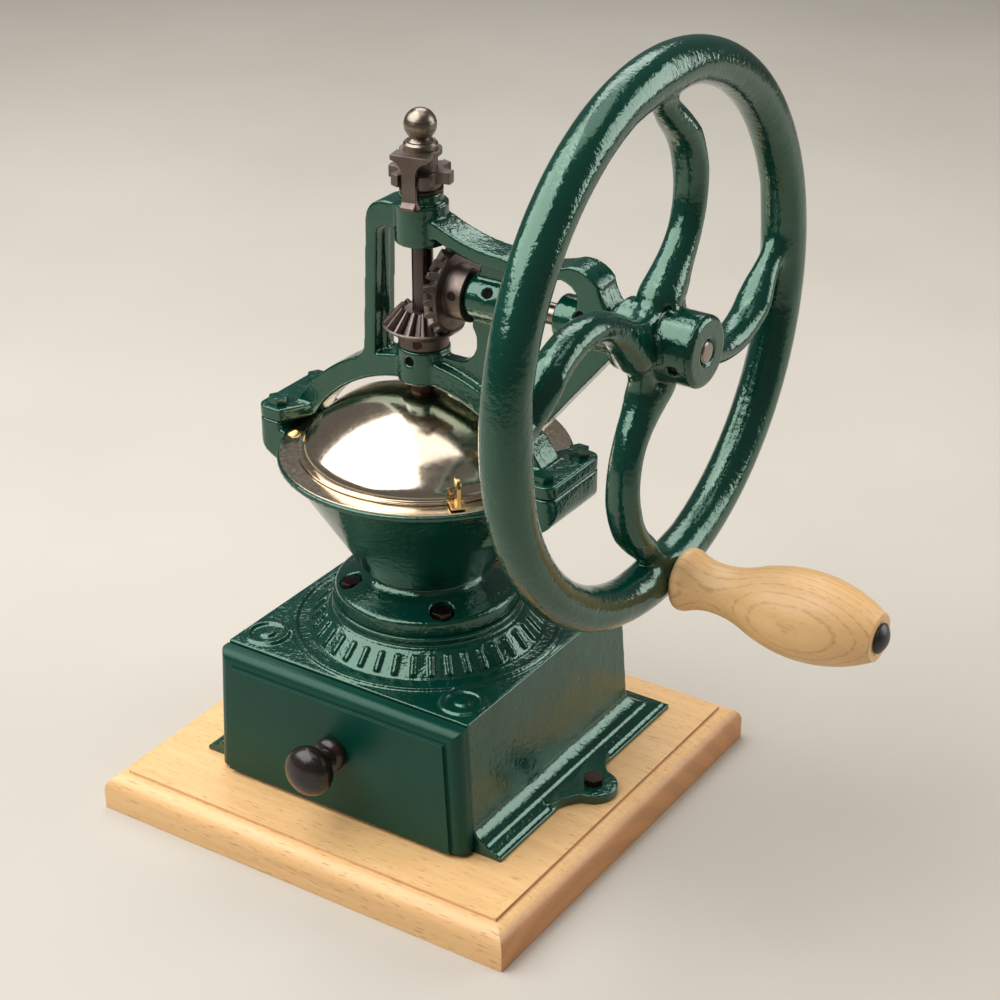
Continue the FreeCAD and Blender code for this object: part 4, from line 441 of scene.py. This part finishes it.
def settle(piece):
    """Work out a piece's modifiers and keep the result as its mesh."""
    graph = bpy.context.evaluated_depsgraph_get()
    result = bpy.data.meshes.new_from_object(piece.evaluated_get(graph))
    piece.modifiers.clear()
    piece.data = result


SMOOTH_FACTOR = 0.5


def add_smoothing(piece, rounds, group=""):
    smooth = piece.modifiers.new("Smooth", "SMOOTH")
    smooth.factor = SMOOTH_FACTOR
    smooth.iterations = rounds
    smooth.vertex_group = group


# Castings: the same solids with every edge and corner flowed round

BAR_COUNT = 40
BAR_HALF_WIDTH = 0.0016
BAR_CREST_SHARE = 0.6
BAR_RISE = 0.0013
BAR_ROOT = 0.0015
BAR_FACES = ((0, 1, 2, 3), (7, 6, 5, 4), (0, 4, 5, 1), (1, 5, 6, 2), (2, 6, 7, 3), (3, 7, 4, 0))
CONE_FOOT = Vector((0.0572, 0.0, 0.0906))
CONE_HEAD = Vector((0.0492, 0.0, 0.0993))


def reeded_ring():
    """Plain radial bars cast on the cone below the hopper's pedestal."""
    mesh = bmesh.new()
    slope = (CONE_HEAD - CONE_FOOT).normalized()
    out = Vector((slope.z, 0.0, -slope.x))
    side = Vector((0.0, BAR_HALF_WIDTH, 0.0))
    top_side = side * BAR_CREST_SHARE
    for count in range(BAR_COUNT):
        turn = Matrix.Rotation(2.0 * math.pi * count / BAR_COUNT, 3, "Z")
        corners = []
        for end, inset in ((CONE_FOOT, 1.0), (CONE_HEAD, -1.0)):
            crest = end + out * BAR_RISE + slope * BAR_RISE * inset
            root = end - out * BAR_ROOT
            corners += [root - side, root + side, crest + top_side, crest - top_side]
        points = [mesh.verts.new(turn @ corner) for corner in corners]
        for face in BAR_FACES:
            mesh.faces.new([points[place] for place in face])
    bmesh.ops.recalc_face_normals(mesh, faces=mesh.faces)
    bars = bpy.data.meshes.new("reeded_ring")
    mesh.to_mesh(bars)
    mesh.free()
    return bars


# The wheel's zones are lines of weight against a distance in metres: SPOKE, HUB and JOINT_SIDE from
# the axle, JOINT from the spot where a spoke meets the rim, TIP along a spoke, RIM from the rim's circle.

CRANK_LEVEL = 0.267622
WHEEL_CENTRE = Vector((0.1221, 0.0, CRANK_LEVEL))
RIM_CIRCLE = 0.120
RIM_ZONE = ((0.0103, 0.0), (0.0130, 1.0))
SPOKES = 4
SPOKE_ZONE = ((0.034, 0.0), (0.076, 1.0), (0.092, 1.0), (0.104, 0.0))
SPOKE_SWELL = 0.0017
SPOKE_DEEPEN = 0.40
TIP_START = Vector((0.0, 0.0104, 0.0956))
TIP_WAY = Vector((0.0, -0.743, 0.669))
TIP_SLIM = 0.34
TIP_ZONE = ((0.004, 0.0), (0.020, 1.0))
HUB_ZONE = ((0.0175, 0.0), (0.0200, 1.0), (0.0360, 1.0), (0.0480, 0.0))
SPOKE_JOINT = Vector((0.0, -0.0075, 0.1117))
JOINT_ZONE = ((0.016, 1.0), (0.030, 0.0))
JOINT_SIDE = ((0.117, 1.0), (0.123, 0.0))
JOINT_SWELL = 0.0013
JOINT_ROUNDS = 180


def slim_tip(arm):
    """Way back to a spoke's middle line where it runs into the rim, nought inside the rim."""
    run = max(0.0, (arm - TIP_START).dot(TIP_WAY))
    clear = math.hypot(math.hypot(arm.y, arm.z) - RIM_CIRCLE, arm.x)
    share = TIP_SLIM * along(TIP_ZONE, run) * along(RIM_ZONE, clear)
    return (TIP_START + TIP_WAY * run - arm) * share


def fill_wheel(piece):
    """Swell the spokes to a deep oval and let their joints flow into the hub and the rim."""
    flow = piece.vertex_groups.new(name="flow")
    turns = [Matrix.Rotation(2.0 * math.pi * count / SPOKES, 3, "X") for count in range(SPOKES)]
    joints = [turn @ SPOKE_JOINT for turn in turns]
    normals = [vertex.normal.copy() for vertex in piece.data.vertices]
    for vertex, normal in zip(piece.data.vertices, normals):
        arm = vertex.co - WHEEL_CENTRE
        out = math.hypot(arm.y, arm.z)
        near, spoke = min(((arm - joint).length, spoke) for spoke, joint in enumerate(joints))
        weight = max(along(HUB_ZONE, out), along(JOINT_ZONE, near) * along(JOINT_SIDE, out))
        flow.add([vertex.index], weight, "REPLACE")
        swell = along(SPOKE_ZONE, out)
        vertex.co += normal * (SPOKE_SWELL * swell + JOINT_SWELL * weight)
        vertex.co.x += arm.x * SPOKE_DEEPEN * swell
        if near < JOINT_ZONE[-1][0]:
            turn = turns[spoke]
            vertex.co += turn @ slim_tip(turn.transposed() @ arm)
    add_smoothing(piece, JOINT_ROUNDS, flow.name)
    settle(piece)


def soften(name, body, voxel, rounds, extra=None, finish=None):
    """Put a casting in a node's place: its solid, and any extra mesh, remeshed and smoothed."""
    solid = bmesh.new()
    solid.from_mesh(nodes[name].data)
    if extra:
        solid.from_mesh(extra)
    shape = bpy.data.meshes.new(name + "_cast")
    solid.to_mesh(shape)
    solid.free()
    piece = bpy.data.objects.new(name + "_cast", shape)
    scene.collection.objects.link(piece)
    remesh = piece.modifiers.new("Remesh", "REMESH")
    remesh.mode = "VOXEL"
    remesh.voxel_size = voxel
    add_smoothing(piece, rounds)
    settle(piece)
    if finish:
        finish(piece)
    piece.data.materials.clear()
    piece.data.materials.append(FINISH[slots[name]])
    piece.data.shade_smooth()
    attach(piece, body)
    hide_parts(name)


soften("flywheel", "wheel", voxel=0.0008, rounds=8, finish=fill_wheel)
soften("yoke", "stand", voxel=0.0007, rounds=7)
soften("hopper", "stand", voxel=0.0008, rounds=6)
soften("base_box", "stand", voxel=0.0006, rounds=3, extra=reeded_ring())


# Lid: spun domes with a higher crown and a tighter shoulder than the solids'

LID_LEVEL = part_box("lid_rear")[0][2]
LID_FLANGE = 0.0690
LID_SHEET = 0.0008
DOOR_GAP = 0.00035
DOOR_LIP = 0.0022
DOME_WIDE = 0.0580
DOME_HIGH = 0.0305
DOME_SHOULDER = 0.0080
PIVOT = 0.0073
COLLAR_WIDE = 0.0131
COLLAR_SINK = 0.00005
COLLAR_LAP = 2.0
DOOR_START = -184.0
REAR_START = -4.0
HALF_SWEEP = 188.0
FULL_TURN = 360.0
CROWN_STEPS = 28
BEND_STEPS = 8
TURN_STEPS = 144
CREASE = math.radians(35.0)


def dome_edge(depth, level, wide=None):
    """Half section of a dome surface at a depth in the sheet, from the pivot out to its foot.

    A wide crown arc and a tight shoulder arc meet at a common tangent. The section
    stops on the crown where a smaller width is given.
    """
    centre = DOME_WIDE - DOME_SHOULDER
    squares = DOME_WIDE ** 2 + DOME_HIGH ** 2 - DOME_WIDE * DOME_SHOULDER * 2
    broad = squares / (DOME_HIGH - DOME_SHOULDER) / 2
    tilt = math.asin(centre / (broad - DOME_SHOULDER))
    crown, bend = broad - depth, DOME_SHOULDER - depth
    first = math.asin(PIVOT / crown)
    last = math.asin(wide / crown) if wide else tilt
    points = []
    for step in range(CROWN_STEPS + 1):
        angle = first + (last - first) * step / CROWN_STEPS
        height = level + DOME_HIGH - broad + crown * math.cos(angle)
        points.append((crown * math.sin(angle), height))
    if wide:
        return points
    for step in range(1, BEND_STEPS + 1):
        angle = tilt + (math.pi / 2 - tilt) * step / BEND_STEPS
        points.append((centre + bend * math.sin(angle), level + bend * math.cos(angle)))
    return points


def lathe(mesh, section, start=0.0, sweep=FULL_TURN):
    """A closed section swept about the Z axis, with its ends capped on a part turn."""
    whole = sweep == FULL_TURN
    rings = []
    for step in range(TURN_STEPS if whole else TURN_STEPS + 1):
        angle = math.radians(start + sweep * step / TURN_STEPS)
        x, y = math.cos(angle), math.sin(angle)
        rings.append([mesh.verts.new((radius * x, radius * y, z)) for radius, z in section])
    following = rings[1:] + rings[:1] if whole else rings[1:]
    for near, far in zip(rings, following):
        for place in range(len(section)):
            back = place - 1
            mesh.faces.new((near[back], near[place], far[place], far[back]))
    if not whole:
        mesh.faces.new(rings[0])
        mesh.faces.new(rings[-1])


def spun_piece(node, body, mesh):
    """Put a spun piece in a node's place, with its sheet edges kept crisp."""
    piece = finished(node + "_spun", mesh, FINISH[slots[node]])
    piece.data.set_sharp_from_angle(angle=CREASE)
    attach(piece, body)
    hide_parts(node)


def lid_rear():
    """Flange all the way round, with the fixed half of the dome sunk in it."""
    inset = LID_SHEET + DOOR_GAP
    top = LID_LEVEL + LID_SHEET
    outer = dome_edge(inset, top)
    inner = dome_edge(inset + LID_SHEET, top)
    foot, bore = outer[-1][0], inner[-1][0]
    sunk = top - LID_SHEET / 2
    mesh = bmesh.new()
    lathe(mesh, outer + [(foot, sunk), (bore, sunk)] + inner[::-1], REAR_START, HALF_SWEEP)
    lathe(mesh, [(bore, LID_LEVEL), (LID_FLANGE, LID_LEVEL), (LID_FLANGE, top), (bore, top)])
    spun_piece("lid_rear", "stand", mesh)


def lid_door():
    """Front half of the dome with a flat lip, and a collar round the pivot."""
    level = LID_LEVEL + LID_SHEET + DOOR_GAP
    top = level + LID_SHEET
    outer = dome_edge(0.0, top)
    inner = dome_edge(LID_SHEET, top)
    lip = DOME_WIDE + DOOR_LIP
    flat = [(lip, top), (lip, level), (inner[-1][0], level)]
    mesh = bmesh.new()
    lathe(mesh, outer + flat + inner[::-1], DOOR_START, HALF_SWEEP)
    upper = dome_edge(COLLAR_SINK, top, COLLAR_WIDE)
    lower = dome_edge(LID_SHEET - COLLAR_SINK, top, COLLAR_WIDE)
    collar_start = DOOR_START + HALF_SWEEP - COLLAR_LAP
    collar_sweep = FULL_TURN + 2 * COLLAR_LAP - HALF_SWEEP
    lathe(mesh, upper + lower[::-1], collar_start, collar_sweep)
    spun_piece("lid_door", "lid_door", mesh)


lid_rear()
lid_door()


# Oil wells: matt black dished plugs in the drillings of the bosses, painted shade for the holes' dark
# depths

WELL_RADIUS = 0.0022
WELL_DEPTH = 0.0007
WELL_SINK = 0.0006
WELL_STEPS = 24
WELL_PROFILE = ((0.3, -1.0), (0.75, -0.7), (1.0, 0.0), (1.0, -1.6), (0.4, -2.0))
LOWER_MOUTH = Vector((0.0, -0.0125, 0.2319))
LOWER_WAY = Vector((0.0, -1.0, 0.0))
BARREL_TILT = math.radians(55.0)
BARREL_WAY = Vector((0.0, -math.sin(BARREL_TILT), math.cos(BARREL_TILT)))
BARREL_RADIUS = 0.0107
INNER_BARREL = 0.0406
OUTER_BARREL = 0.0880


def barrel_mouth(place):
    """Mouth of the drilling in a shaft barrel at a place along the shaft."""
    return Vector((place, 0.0, CRANK_LEVEL)) + BARREL_WAY * BARREL_RADIUS


def oil_well(name, mouth, way):
    """A plug turned to a profile of shares of the well's radius and depth, just below a mouth, in matt
    black painted shade for the hole's depth.
    """
    turn = way.to_track_quat("Z", "Y").to_matrix()
    mesh = bmesh.new()
    rings = []
    for share, drop in WELL_PROFILE:
        ring = []
        for step in range(WELL_STEPS):
            angle = 2.0 * math.pi * step / WELL_STEPS
            spot = Vector((math.cos(angle), math.sin(angle), 0.0)) * WELL_RADIUS * share
            spot.z = WELL_DEPTH * drop - WELL_SINK
            ring.append(mesh.verts.new(mouth + turn @ spot))
        rings.append(ring)
    for low, high in zip(rings, rings[1:]):
        for step in range(WELL_STEPS):
            back = step - 1
            mesh.faces.new((low[back], low[step], high[step], high[back]))
    mesh.faces.new(rings[0])
    mesh.faces.new(rings[-1])
    piece = finished(name, mesh, OIL_HOLE_PAINTED_SHADE)
    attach(piece, "stand")


# Matt black painted shade for the depths of the oil holes
OIL_HOLE_PAINTED_SHADE = oil_hole_painted_shade()
oil_well("oil_well_lower", LOWER_MOUTH, LOWER_WAY)
oil_well("oil_well_inner", barrel_mouth(INNER_BARREL), BARREL_WAY)
oil_well("oil_well_outer", barrel_mouth(OUTER_BARREL), BARREL_WAY)


# Floor, light and camera

FLOOR_REACH = 6.0
FLOOR_CORNERS = ((-1, -1), (1, -1), (1, 1), (-1, 1))
SKY_COLOUR = (0.93, 0.92, 0.90, 1.0)
SKY_STRENGTH = 0.14
OBJECT_MIDDLE = Vector((0.03, 0.0, 0.2))
CAMERA_PLACE = Vector((0.5639, -0.8008, 0.6667))
CAMERA_AIM = Vector((0.0270, 0.02282, 0.15294))
CAMERA_SENSOR = 36.0
CAMERA_LENS = 83.29


def floor():
    mesh = bpy.data.meshes.new("floor")
    corners = [(x * FLOOR_REACH, y * FLOOR_REACH, 0.0) for x, y in FLOOR_CORNERS]
    mesh.from_pydata(corners, [], [range(len(corners))])
    piece = bpy.data.objects.new("floor", mesh)
    scene.collection.objects.link(piece)
    shader = Shader("floor", (0.50, 0.46, 0.40), 0.7)
    cloud = shader.noise(scale=3.0, detail=3.0)
    shader.colour(shader.tones(cloud, dark=(0.48, 0.44, 0.38), light=(0.52, 0.48, 0.42)))
    shader.roughness(shader.spread(cloud, 0.65, 0.75))
    mesh.materials.append(shader.material)


def world():
    sky = bpy.data.worlds.new("world")
    sky.use_nodes = True
    back = sky.node_tree.nodes["Background"]
    back.inputs["Color"].default_value = SKY_COLOUR
    back.inputs["Strength"].default_value = SKY_STRENGTH
    scene.world = sky


def aimed(name, data, place, aim):
    """A lamp or camera at a place, turned to a point."""
    piece = bpy.data.objects.new(name, data)
    piece.location = place
    piece.rotation_euler = (aim - place).to_track_quat("-Z", "Y").to_euler()
    scene.collection.objects.link(piece)
    return piece


def softbox(name, place, width, height, power):
    light = bpy.data.lights.new(name, "AREA")
    light.shape = "RECTANGLE"
    light.size = width
    light.size_y = height
    light.energy = power
    aimed(name, light, Vector(place), OBJECT_MIDDLE)


def camera():
    data = bpy.data.cameras.new("camera")
    data.sensor_width = CAMERA_SENSOR
    data.lens = CAMERA_LENS
    scene.camera = aimed("camera", data, CAMERA_PLACE, CAMERA_AIM)


floor()
world()
softbox("key", (-0.64, -0.60, 1.33), width=1.95, height=1.55, power=40.0)
softbox("top", (-0.05, 0.05, 1.75), width=1.1, height=1.0, power=6.0)
softbox("back", (-0.55, 0.9, 1.45), width=1.0, height=0.8, power=9.0)
softbox("side", (1.10, 0.90, 0.66), width=0.9, height=1.0, power=11.0)
camera()

scene.view_settings.view_transform = "Standard"
